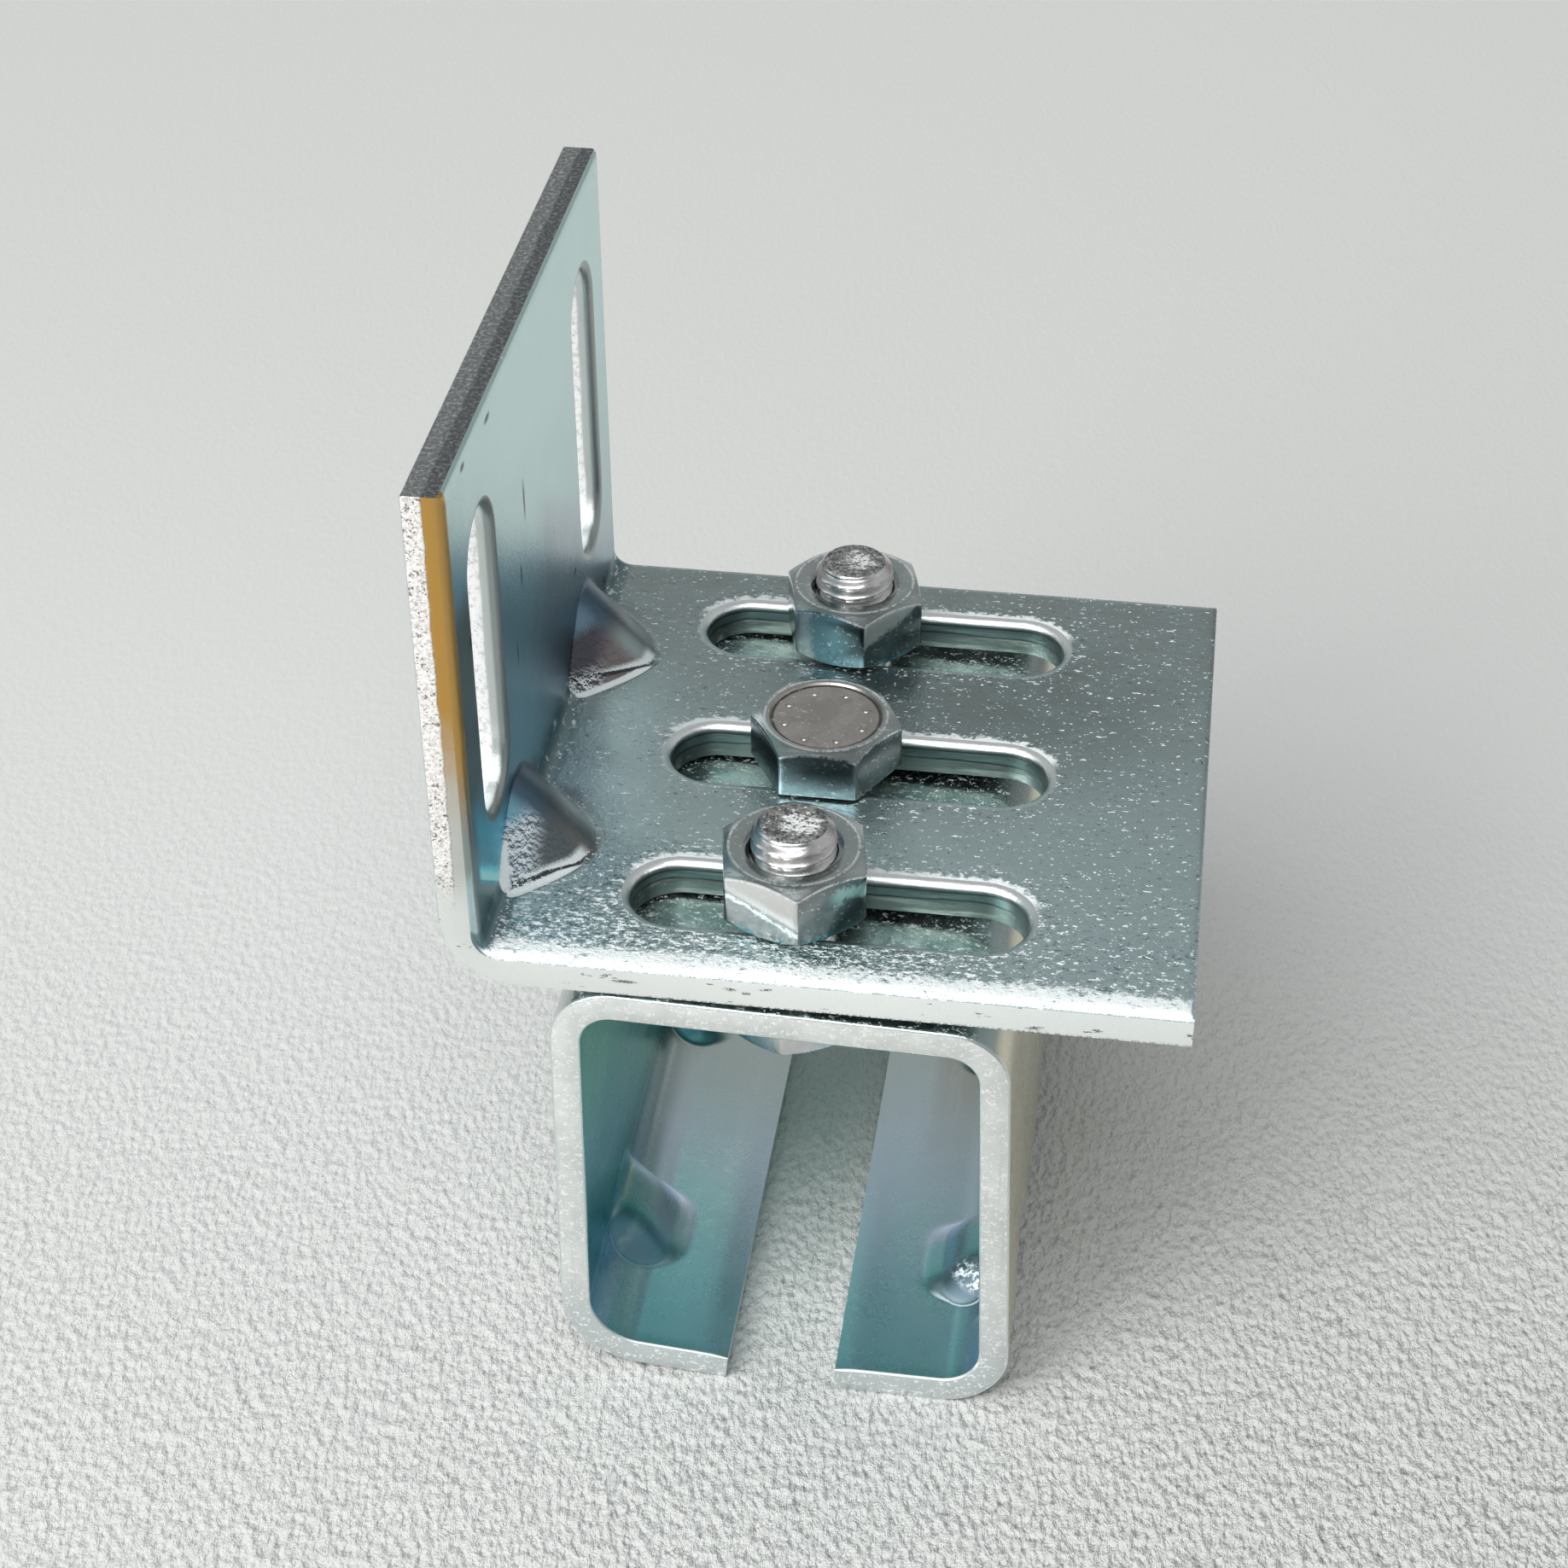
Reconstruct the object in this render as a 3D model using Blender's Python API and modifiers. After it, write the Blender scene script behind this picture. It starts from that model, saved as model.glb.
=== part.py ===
"""Wall bracket for a sliding-door track.

A slotted steel angle with two pressed corner gussets carries an open track sleeve. Two hexagon
bolts clamp the sleeve up against the angle's flange with nuts, and a screw between them is
threaded into the sleeve. Units are metres, +Z is up, +X points away from the wall and +Y runs
along the track. The origin is under the middle of the angle, level with the sleeve's lips.
"""

from math import cos, pi, radians, sin, sqrt, tan

import bmesh
import bpy
from mathutils import Matrix, Vector

# Gap between faces that touch on the real object
SEAT = 0.0003

# Angle bracket
PLATE = 0.0036
FLANGE_LENGTH = 0.068
BRACKET_WIDTH = 0.0665
WALL_HEIGHT = 0.0515
BEND_INNER = 0.0018
BEND_OUTER = 0.0070
EDGE_BEVEL = 0.0004

# Metal left round the slots: to the angle's back, to its free edge, and to its two sides
SLOT_BACK_MARGIN = 0.0155
SLOT_FREE_MARGIN = 0.0155
SLOT_SIDE_MARGIN = 0.01105
WALL_SLOT_TOP_MARGIN = 0.0081
WALL_SLOT_FOOT_MARGIN = 0.0124
PUNCH_ROLL = 0.0009

# Gussets pressed into the angle's bend
GUSSET_REACH = 0.0075
GUSSET_HALF_WIDTH = 0.0095
GUSSET_SIDE_MARGIN = 0.0172
GUSSET_CREST = 0.0060
GUSSET_FOOT = 0.0006

# Track sleeve, an open section folded from sheet
SLEEVE_WALL = 0.0029
SLEEVE_WIDTH = 0.0424
SLEEVE_HEIGHT = 0.0490
SLEEVE_SHIFT = -0.0032
LIP_GAP = 0.011
TOP_BEND = 0.0060
LEFT_FOOT_BEND = 0.0082
RIGHT_FOOT_BEND = 0.0068
TOP_TILT_DEG = 1.5
LEFT_LEAN_DEG = 0.9
RIGHT_LEAN_DEG = 1.9
LEFT_LIP_DROOP_DEG = 5.0

# Dimples pressed into the sleeve's two lower corners, on which the track sits
DIMPLE_HALF_LENGTH = 0.0064
DIMPLE_HALF_WIDTH = 0.0085
DIMPLE_RISE = 0.0028
DIMPLE_END_POWER = 4
DIMPLE_BLEND_POWER = 1.5
DIMPLE_SIDE_MARGIN = 0.0162

# Fasteners
BOLT_DIAMETER = 0.008
BOLT_CLEARANCE = 0.001
BOLT_LENGTH = 0.017
SCREW_LENGTH = 0.012
TIP_CHAMFER = 0.0008
ACROSS_FLATS = 0.013
HEAD_HEIGHT = 0.0053
NUT_HEIGHT = 0.0065
HEX_CHAMFER_DEG = 30.0
HEX_RIM_INSET = 0.0004
HEAD_RIM = 0.0005
HEAD_RECESS = 0.00025
NUT_MOUTH_CHAMFER = 0.00035
FRONT_NUT_TURN_DEG = -20.4
REAR_NUT_TURN_DEG = -15.8
BOLT_HEAD_TURN_DEG = 30.0

# Facets
FLAT_DEG = 0.05
BEND_STEPS = 8
SLOT_STEPS = 8
ROLL_STEPS = 2
TURN_STEPS = 48
GUSSET_STEPS = 6
GUSSET_STATIONS = 8
DIMPLE_STATIONS = 8
DIMPLE_COLUMNS = 4

# Places worked out from the sizes
FLANGE_BOTTOM = SLEEVE_HEIGHT + SEAT
FLANGE_TOP = FLANGE_BOTTOM + PLATE
BACK_FACE = -FLANGE_LENGTH / 2
SLOT_WIDTH = BOLT_DIAMETER + BOLT_CLEARANCE
SLOT_LENGTH = FLANGE_LENGTH - SLOT_BACK_MARGIN - SLOT_FREE_MARGIN
SLOT_MIDDLE = BACK_FACE + SLOT_BACK_MARGIN + SLOT_LENGTH / 2
SLOT_PITCH = BRACKET_WIDTH / 2 - SLOT_SIDE_MARGIN
WALL_SLOT_LENGTH = WALL_HEIGHT - WALL_SLOT_TOP_MARGIN - WALL_SLOT_FOOT_MARGIN
GUSSET_CENTRES = (GUSSET_SIDE_MARGIN - BRACKET_WIDTH / 2, BRACKET_WIDTH / 2 - GUSSET_SIDE_MARGIN)
SLEEVE_LENGTH = BRACKET_WIDTH
SLEEVE_MIDDLE = SLOT_MIDDLE + SLEEVE_SHIFT
DIMPLE_CENTRES = (DIMPLE_SIDE_MARGIN - SLEEVE_LENGTH / 2, SLEEVE_LENGTH / 2 - DIMPLE_SIDE_MARGIN)
DIMPLE_STEP = DIMPLE_HALF_WIDTH / BEND_STEPS
HEX_CORNER = ACROSS_FLATS / sqrt(3)
HEX_RIM = ACROSS_FLATS / 2 - HEX_RIM_INSET
CLEAR = 0.001


def arc(centre, radius, start, end, steps):
    """Points of an arc, both ends included."""
    points = []
    for i in range(steps + 1):
        angle = start + (end - start) * i / steps
        points.append(centre + radius * Vector((cos(angle), sin(angle))))
    return points


def between(start, end, steps):
    """Values from start to end, both included."""
    return [start + (end - start) * i / steps for i in range(steps + 1)]


def smooth_rise(value, blend):
    """Zero below -blend, the value itself above blend, and a parabola between."""
    if value <= -blend:
        return 0.0
    if value >= blend:
        return value
    return (value + blend) ** 2 / (4 * blend)


def stations(half_length, centres, half_width, steps):
    """Places along Y: both ends, the middle, and steps across each pressed feature."""
    places = {-half_length, 0.0, half_length}
    for centre in centres:
        for offset in between(-half_width, half_width, 2 * steps):
            if abs(centre + offset) < half_length - CLEAR:
                places.add(round(centre + offset, 6))
    return sorted(places)


def new_object(name, mesh, collection):
    """An object for the mesh in the collection."""
    obj = bpy.data.objects.new(name, mesh)
    collection.objects.link(obj)
    return obj


def mesh_from(name, work):
    """A mesh from a bmesh, with its faces pointing out."""
    bmesh.ops.recalc_face_normals(work, faces=work.faces)
    mesh = bpy.data.meshes.new(name)
    work.to_mesh(mesh)
    work.free()
    return mesh


def loft(name, rings, edge_corners=()):
    """A closed solid through rings of points. The rims and the edges that start at
    edge_corners are marked for the bevel."""
    work = bmesh.new()
    weight = work.edges.layers.float.new("bevel_weight_edge")
    loops = [[work.verts.new(point) for point in ring] for ring in rings]
    count = len(rings[0])
    for near, far in zip(loops, loops[1:]):
        for i in range(count):
            j = (i + 1) % count
            work.faces.new((near[i], near[j], far[j], far[i]))
    for loop in (loops[0], loops[-1]):
        cap = work.faces.new(loop)
        for edge in cap.edges:
            edge[weight] = 1.0
    for near, far in zip(loops, loops[1:]):
        for i in edge_corners:
            work.edges.get((near[i], far[i]))[weight] = 1.0
    bmesh.ops.recalc_face_normals(work, faces=work.faces)
    bmesh.ops.dissolve_limit(
        work, angle_limit=radians(FLAT_DEG), verts=work.verts, edges=work.edges
    )
    return mesh_from(name, work)


def bevel(obj, width):
    """Break the marked edges."""
    modifier = obj.modifiers.new("Edges", "BEVEL")
    modifier.limit_method = "WEIGHT"
    modifier.width = width
    modifier.segments = 1
    modifier.use_clamp_overlap = False


def boolean(obj, tool, operation):
    """Cut the object with the tool, or keep what the two share."""
    modifier = obj.modifiers.new(tool.name, "BOOLEAN")
    modifier.operation = operation
    modifier.solver = "EXACT"
    modifier.object = tool


def set_shading(obj, angle_deg=28):
    """Replace the object's mesh by its evaluated one, smooth but for its sharp edges."""
    bpy.context.view_layer.update()
    evaluated = obj.evaluated_get(bpy.context.evaluated_depsgraph_get())
    mesh = bpy.data.meshes.new_from_object(evaluated)
    obj.modifiers.clear()
    obj.data = mesh
    mesh.shade_smooth()
    mesh.set_sharp_from_angle(angle=radians(angle_deg))


def cutter(name, mesh, cutters):
    """A tool object that never shows in a render."""
    obj = new_object(name, mesh, cutters)
    obj.display_type = "WIRE"
    obj.hide_render = True
    return obj


def zinc(name, colour, roughness):
    """Bright zinc plate."""
    material = bpy.data.materials.new(name)
    material.use_nodes = True
    shader = material.node_tree.nodes["Principled BSDF"]
    shader.inputs["Base Color"].default_value = (*colour, 1.0)
    shader.inputs["Metallic"].default_value = 1.0
    shader.inputs["Roughness"].default_value = roughness
    return material


def slot_outline(length, width):
    """A slot's outline: two half circles joined by straight sides."""
    reach = max((length - width) / 2, CLEAR / 10)
    right = arc(Vector((reach, 0)), width / 2, -pi / 2, pi / 2, SLOT_STEPS)
    left = arc(Vector((-reach, 0)), width / 2, pi / 2, 3 * pi / 2, SLOT_STEPS)
    return right + left


def slot_cutter(name, length, place, cutters):
    """A punched slot: straight sides, and a rolled rim where the punch went in.
    Local X runs along the slot, and local Z points out of the face that was punched."""
    levels = [(-PLATE - CLEAR, 0.0)]
    for angle in between(pi / 2, 0, ROLL_STEPS):
        levels.append((PUNCH_ROLL * (cos(angle) - 1), PUNCH_ROLL * (1 - sin(angle))))
    levels.append((CLEAR, PUNCH_ROLL))
    rings = []
    for depth, wider in levels:
        outline = slot_outline(length + 2 * wider, SLOT_WIDTH + 2 * wider)
        rings.append([Vector((point.x, point.y, depth)) for point in outline])
    tool = cutter(name, loft(name, rings), cutters)
    tool.matrix_world = place
    return tool


def bracket_columns():
    """Matching points of the sheet's outer and inner faces, seen along the track, from the
    wall's top edge round the bend to the flange's free edge. The corner is the origin."""
    near = PLATE + GUSSET_REACH + 2 * GUSSET_FOOT
    inner_start = PLATE + BEND_INNER
    columns = [(Vector((0, WALL_HEIGHT)), Vector((PLATE, WALL_HEIGHT)))]
    outer = between(near, BEND_OUTER, GUSSET_STEPS)
    inner = between(near, inner_start, GUSSET_STEPS)
    for outer_z, inner_z in zip(outer[:-1], inner[:-1]):
        columns.append((Vector((0, outer_z)), Vector((PLATE, inner_z))))
    columns += zip(
        arc(Vector((BEND_OUTER, BEND_OUTER)), BEND_OUTER, pi, 3 * pi / 2, BEND_STEPS),
        arc(Vector((inner_start, inner_start)), BEND_INNER, pi, 3 * pi / 2, BEND_STEPS),
    )
    for outer_x, inner_x in zip(outer[-2::-1], inner[-2::-1]):
        columns.append((Vector((outer_x, 0)), Vector((inner_x, PLATE))))
    columns.append((Vector((FLANGE_LENGTH, 0)), Vector((FLANGE_LENGTH, PLATE))))
    return columns


def gusset_push(inner, y):
    """How far the press moves a column of the sheet, towards the inside of the angle."""
    height = inner.x + inner.y - 2 * PLATE
    away = min(abs(y - centre) for centre in GUSSET_CENTRES)
    slope = sqrt(away**2 + GUSSET_CREST**2) - GUSSET_CREST
    full_slope = sqrt(GUSSET_HALF_WIDTH**2 + GUSSET_CREST**2) - GUSSET_CREST
    crest = GUSSET_REACH * (1 - slope / full_slope)
    push = smooth_rise(crest - height, GUSSET_FOOT) / 2
    return Vector((push, push))


def make_bracket(parts, cutters):
    """The slotted angle with its two gussets."""
    columns = bracket_columns()
    last = len(columns) - 1
    places = stations(
        BRACKET_WIDTH / 2,
        GUSSET_CENTRES,
        GUSSET_HALF_WIDTH + GUSSET_FOOT,
        GUSSET_STATIONS,
    )
    rings = []
    for y in places:
        pushes = [gusset_push(inner, y) for _, inner in columns]
        outers = [outer + push for (outer, _), push in zip(columns, pushes)]
        inners = [inner + push for (_, inner), push in zip(columns, pushes)]
        rings.append([Vector((p.x, y, p.y)) for p in outers + inners[::-1]])
    mesh = loft("angle_bracket", rings, (0, last, last + 1, 2 * last + 1))
    mesh.transform(Matrix.Translation((BACK_FACE, 0, FLANGE_BOTTOM)))
    bracket = new_object("angle_bracket", mesh, parts)
    bevel(bracket, EDGE_BEVEL)

    for name, y in (("front", -SLOT_PITCH), ("middle", 0.0), ("rear", SLOT_PITCH)):
        place = Matrix.Translation((SLOT_MIDDLE, y, FLANGE_TOP))
        boolean(bracket, slot_cutter(name + "_slot", SLOT_LENGTH, place, cutters), "DIFFERENCE")
    wall_slot_z = FLANGE_BOTTOM + WALL_SLOT_FOOT_MARGIN + WALL_SLOT_LENGTH / 2
    upright = Matrix.Rotation(pi / 2, 4, "Y")
    for name, y in (("front", -SLOT_PITCH), ("rear", SLOT_PITCH)):
        place = Matrix.Translation((BACK_FACE + PLATE, y, wall_slot_z)) @ upright
        tool = slot_cutter(name + "_wall_slot", WALL_SLOT_LENGTH, place, cutters)
        boolean(bracket, tool, "DIFFERENCE")
    set_shading(bracket)
    bracket.data.materials.append(zinc("bracket_zinc", (0.58, 0.63, 0.66), 0.32))
    return bracket


def sleeve_corners():
    """The sharp corners of the sleeve's outer outline, from the left lip's free edge round
    the top to the right lip's free edge, and the bend radius at each corner."""
    top_left = Vector((-SLEEVE_WIDTH / 2, SLEEVE_HEIGHT + TOP_BEND * tan(radians(TOP_TILT_DEG))))
    drop = Vector((SLEEVE_WIDTH, -SLEEVE_WIDTH * tan(radians(TOP_TILT_DEG))))
    top_right = top_left + drop
    droop = tan(radians(LEFT_LIP_DROOP_DEG))
    lean = tan(radians(LEFT_LEAN_DEG))
    foot_height = (SLEEVE_WIDTH / 2 - LIP_GAP / 2) * droop
    foot_left = Vector((top_left.x - lean * (top_left.y - foot_height), foot_height))
    foot_right = Vector((top_right.x + tan(radians(RIGHT_LEAN_DEG)) * top_right.y, 0))
    left_edge = Vector((-LIP_GAP / 2, foot_left.y + droop * (foot_left.x + LIP_GAP / 2)))
    corners = [left_edge, foot_left, top_left, top_right, foot_right, Vector((LIP_GAP / 2, 0))]
    lift = Vector((0, -left_edge.y))
    corners[0] += lift
    corners[1] += lift
    return corners, (0, LEFT_FOOT_BEND, TOP_BEND, TOP_BEND, RIGHT_FOOT_BEND, 0)


def corner_columns(before, corner, after, radius):
    """Points and inward normals round one bend of the sleeve."""
    along_in = (corner - before).normalized()
    along_out = (after - corner).normalized()
    turn = along_in.angle(along_out)
    setback = radius * tan(turn / 2)
    inward = Vector((along_in.y, -along_in.x))
    centre = corner - along_in * setback + inward * radius
    columns = []
    for angle in between(0.0, turn, BEND_STEPS):
        normal = Matrix.Rotation(-angle, 2) @ inward
        columns.append((centre - normal * radius, normal))
    return columns


def straight_run(start, end):
    """Extra columns on a straight stretch, for a dimple that reaches past its bend."""
    direction = (end[0] - start[0]).normalized()
    places = [start[0] + direction * DIMPLE_STEP * (i + 1) for i in range(DIMPLE_COLUMNS)]
    return [(place, start[1]) for place in places]


def sleeve_columns():
    """Points of the sleeve's outer face with their inward normals, seen along the track."""
    corners, radii = sleeve_corners()
    bends = []
    for i in range(1, len(corners) - 1):
        bends.append(corner_columns(corners[i - 1], corners[i], corners[i + 1], radii[i]))
    first = (corners[0], bends[0][0][1])
    final = (corners[-1], bends[-1][-1][1])
    columns = [first]
    columns += straight_run(bends[0][0], first)[::-1]
    columns += bends[0]
    columns += straight_run(bends[0][-1], bends[1][0])
    columns += bends[1] + bends[2]
    columns += straight_run(bends[3][0], bends[2][-1])[::-1]
    columns += bends[3]
    columns += straight_run(bends[3][-1], final)
    columns.append(final)
    middles = [bend[BEND_STEPS // 2] for bend in (bends[0], bends[3])]
    return columns, middles


def dimple_push(point, y, middles):
    """How far the press moves a point of the sleeve, towards the track. A dimple is nearly
    level along its middle, steep at its two ends, and fades out across the bend."""
    push = Vector((0, 0))
    for middle, inward in middles:
        for centre in DIMPLE_CENTRES:
            across = (point - middle).length / DIMPLE_HALF_WIDTH
            along = (y - centre) / DIMPLE_HALF_LENGTH
            dome = max(1 - across**2 - along**DIMPLE_END_POWER, 0.0)
            push += inward * DIMPLE_RISE * dome**DIMPLE_BLEND_POWER
    return push


def sleeve_top(x):
    """Height of the sleeve's outer top face at a place across it."""
    across = x - SLEEVE_MIDDLE + SLEEVE_WIDTH / 2 - TOP_BEND
    return SLEEVE_HEIGHT - across * tan(radians(TOP_TILT_DEG))


def make_sleeve(parts, cutters):
    """The open track sleeve with its dimples and its three holes."""
    columns, middles = sleeve_columns()
    last = len(columns) - 1
    places = stations(SLEEVE_LENGTH / 2, DIMPLE_CENTRES, DIMPLE_HALF_LENGTH, DIMPLE_STATIONS)
    rings = []
    for y in places:
        outers = []
        inners = []
        for point, normal in columns:
            push = dimple_push(point, y, middles)
            outers.append(point + push)
            inners.append(point + normal * SLEEVE_WALL + push)
        rings.append([Vector((p.x, y, p.y)) for p in outers + inners[::-1]])
    mesh = loft("track_sleeve", rings, (0, last, last + 1, 2 * last + 1))
    sleeve = new_object("track_sleeve", mesh, parts)
    sleeve.location.x = SLEEVE_MIDDLE
    bevel(sleeve, EDGE_BEVEL)
    for name, y, diameter in (
        ("front_hole", -SLOT_PITCH, BOLT_DIAMETER + BOLT_CLEARANCE),
        ("screw_hole", 0.0, BOLT_DIAMETER + 2 * SEAT),
        ("rear_hole", SLOT_PITCH, BOLT_DIAMETER + BOLT_CLEARANCE),
    ):
        work = bmesh.new()
        bmesh.ops.create_cone(
            work, cap_ends=True, segments=TURN_STEPS, depth=4 * SLEEVE_WALL,
            radius1=diameter / 2, radius2=diameter / 2,
        )
        tool = cutter(name, mesh_from(name, work), cutters)
        tool.location = (SLEEVE_MIDDLE, y, SLEEVE_HEIGHT - SLEEVE_WALL)
        boolean(sleeve, tool, "DIFFERENCE")
    set_shading(sleeve)
    sleeve.data.materials.append(zinc("sleeve_zinc", (0.52, 0.62, 0.64), 0.30))
    return sleeve


def turned(name, profile, closed, collection):
    """A turned solid from a profile of radius and height, which runs down its outer side."""
    points = [(radius, 0.0, height) for radius, height in profile]
    edges = [(i, i + 1) for i in range(len(points) - 1)]
    if closed:
        edges.append((len(points) - 1, 0))
    mesh = bpy.data.meshes.new(name)
    mesh.from_pydata(points, edges, [])
    obj = new_object(name, mesh, collection)
    screw = obj.modifiers.new("Turn", "SCREW")
    screw.steps = TURN_STEPS
    screw.render_steps = TURN_STEPS
    screw.use_merge_vertices = True
    screw.merge_threshold = 0.00001
    return obj


def hexagon(name, height, cutters):
    """A six-sided bar across the fastener's flats, centred on the origin."""
    work = bmesh.new()
    bmesh.ops.create_cone(
        work, cap_ends=True, segments=6, depth=height, radius1=HEX_CORNER, radius2=HEX_CORNER
    )
    # the cone's first corner lies on +Y, and a fastener's angle is counted from +X
    bmesh.ops.rotate(work, verts=work.verts, matrix=Matrix.Rotation(pi / 2, 3, "Z"))
    return cutter(name, mesh_from(name, work), cutters)


def bolt_profile(length):
    """A hexagon bolt's outline, head up, with the face under its head at height 0."""
    shank = BOLT_DIAMETER / 2
    around = HEX_CORNER + SEAT
    chamfer = (around - HEX_RIM) * tan(radians(HEX_CHAMFER_DEG))
    return [
        (0.0, HEAD_HEIGHT - HEAD_RECESS),
        (HEX_RIM - HEAD_RIM - HEAD_RECESS, HEAD_HEIGHT - HEAD_RECESS),
        (HEX_RIM - HEAD_RIM, HEAD_HEIGHT),
        (HEX_RIM, HEAD_HEIGHT),
        (around, HEAD_HEIGHT - chamfer),
        (around, 0.0),
        (shank, 0.0),
        (shank, TIP_CHAMFER - length),
        (shank - TIP_CHAMFER, -length),
        (0.0, -length),
    ]


def nut_profile():
    """A hexagon nut's outline, its seat at height 0: out and down, then up its bore."""
    bore = BOLT_DIAMETER / 2 + SEAT
    mouth = bore + NUT_MOUTH_CHAMFER
    around = HEX_CORNER + SEAT
    chamfer = (around - HEX_RIM) * tan(radians(HEX_CHAMFER_DEG))
    return [
        (mouth, NUT_HEIGHT),
        (HEX_RIM, NUT_HEIGHT),
        (around, NUT_HEIGHT - chamfer),
        (around, chamfer),
        (HEX_RIM, 0.0),
        (mouth, 0.0),
        (bore, NUT_MOUTH_CHAMFER),
        (bore, NUT_HEIGHT - NUT_MOUTH_CHAMFER),
    ]


def make_fastener(name, profile, closed, place, colour, parts, cutters):
    """A turned blank cut to a hexagon, and put in its place."""
    obj = turned(name, profile, closed, parts)
    tallest = 4 * max(BOLT_LENGTH, SCREW_LENGTH, NUT_HEIGHT, HEAD_HEIGHT)
    boolean(obj, hexagon(name + "_flats", tallest, cutters), "INTERSECT")
    set_shading(obj)
    obj.data.materials.append(zinc(name + "_zinc", colour, 0.22))
    obj.matrix_world = place
    return obj


def make_fasteners(parts, cutters):
    """Two bolts pointing up out of the sleeve with their nuts, and the screw between them."""
    head_side = SLEEVE_MIDDLE + HEX_CORNER
    wall_drop = SLEEVE_WALL / cos(radians(TOP_TILT_DEG))
    bearing = sleeve_top(head_side) - wall_drop - SEAT
    head_down = Matrix.Rotation(pi, 4, "X") @ Matrix.Rotation(radians(BOLT_HEAD_TURN_DEG), 4, "Z")
    for name, y, turn in (
        ("front", -SLOT_PITCH, FRONT_NUT_TURN_DEG),
        ("rear", SLOT_PITCH, REAR_NUT_TURN_DEG),
    ):
        bolt_place = Matrix.Translation((SLEEVE_MIDDLE, y, bearing)) @ head_down
        make_fastener(
            name + "_bolt", bolt_profile(BOLT_LENGTH), False, bolt_place,
            (0.60, 0.60, 0.58), parts, cutters,
        )
        spin = Matrix.Rotation(radians(turn), 4, "Z")
        nut_place = Matrix.Translation((SLEEVE_MIDDLE, y, FLANGE_TOP + SEAT)) @ spin
        make_fastener(
            name + "_nut", nut_profile(), True, nut_place, (0.62, 0.64, 0.65), parts, cutters
        )
    screw_place = Matrix.Translation((SLEEVE_MIDDLE, 0, FLANGE_TOP + SEAT))
    make_fastener(
        "clamp_screw", bolt_profile(SCREW_LENGTH), False, screw_place,
        (0.55, 0.54, 0.52), parts, cutters,
    )


def main():
    """Clear the scene and build the bracket."""
    for obj in list(bpy.data.objects):
        bpy.data.objects.remove(obj, do_unlink=True)
    parts = bpy.data.collections.new("monorail_wall_bracket")
    cutters = bpy.data.collections.new("cutters")
    bpy.context.scene.collection.children.link(parts)
    bpy.context.scene.collection.children.link(cutters)
    make_bracket(parts, cutters)
    make_sleeve(parts, cutters)
    make_fasteners(parts, cutters)


main()
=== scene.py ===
"""Looks of the monorail wall bracket: plated sheet, rolled and sheared edges, threads, soft light."""

from math import cos, pi, radians, sin, sqrt, tan

import bmesh
import bpy
from mathutils import Matrix, Vector


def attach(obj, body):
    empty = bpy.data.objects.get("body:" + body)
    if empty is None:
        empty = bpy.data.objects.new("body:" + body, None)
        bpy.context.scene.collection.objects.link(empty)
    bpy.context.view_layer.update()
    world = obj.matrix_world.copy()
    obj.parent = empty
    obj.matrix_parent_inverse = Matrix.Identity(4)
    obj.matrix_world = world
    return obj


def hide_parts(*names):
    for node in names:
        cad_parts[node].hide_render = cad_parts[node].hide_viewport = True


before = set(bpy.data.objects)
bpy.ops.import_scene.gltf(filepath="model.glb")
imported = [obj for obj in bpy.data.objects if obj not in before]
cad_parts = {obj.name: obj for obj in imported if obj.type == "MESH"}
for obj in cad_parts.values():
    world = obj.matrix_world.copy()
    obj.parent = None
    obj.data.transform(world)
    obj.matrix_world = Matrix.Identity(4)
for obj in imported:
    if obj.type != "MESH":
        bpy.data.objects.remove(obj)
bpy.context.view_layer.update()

# Sizes shared with the solids, in metres
SEAT = 0.0003
PLATE = 0.0036
FLANGE_LENGTH = 0.068
BRACKET_WIDTH = 0.0665
WALL_HEIGHT = 0.0515
BEND_INNER = 0.0018
BEND_OUTER = 0.0070
SLOT_WIDTH = 0.009
SLOT_LENGTH = 0.037
SLOT_PITCH = 0.0222
WALL_SLOT_LENGTH = 0.031
WALL_SLOT_MARGIN = 0.0081
GUSSET_REACH = 0.0075
GUSSET_HALF_WIDTH = 0.0095
GUSSET_Y = 0.01605
GUSSET_CREST = 0.0060
GUSSET_FOOT = 0.0006
GUSSET_SLOPE = sqrt(GUSSET_HALF_WIDTH**2 + GUSSET_CREST**2) - GUSSET_CREST
SLEEVE_WALL = 0.0029
SLEEVE_WIDTH = 0.0424
SLEEVE_HEIGHT = 0.0490
SLEEVE_LENGTH = 0.0665
SLEEVE_OFFSET = -0.0032
LIP_GAP = 0.011
TOP_BEND = 0.0060
LEFT_FOOT_BEND = 0.0082
RIGHT_FOOT_BEND = 0.0068
TOP_TILT = radians(1.5)
LEFT_LEAN = radians(0.9)
RIGHT_LEAN = radians(1.9)
LEFT_LIP_DROOP = radians(5.0)
DIMPLE_HALF_LENGTH = 0.0064
DIMPLE_HALF_WIDTH = 0.0085
DIMPLE_RISE = 0.0028
DIMPLE_END_POWER = 4
DIMPLE_BLEND_POWER = 1.5
DIMPLE_Y = 0.01705
BOLT_DIAMETER = 0.008
BOLT_LENGTH = 0.017
SCREW_LENGTH = 0.012
ACROSS_FLATS = 0.013
HEAD_HEIGHT = 0.0053
NUT_HEIGHT = 0.0065
HEX_RIM = 0.0061
HEX_CHAMFER = tan(radians(30))
BOLT_HOLE = 0.009
THREAD_PITCH = 0.00125
FLANGE_BOTTOM = SLEEVE_HEIGHT + SEAT
FLANGE_TOP = FLANGE_BOTTOM + PLATE
BACK_FACE = -FLANGE_LENGTH / 2
WALL_FACE = BACK_FACE + PLATE
CORNER = WALL_FACE + FLANGE_TOP
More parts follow.
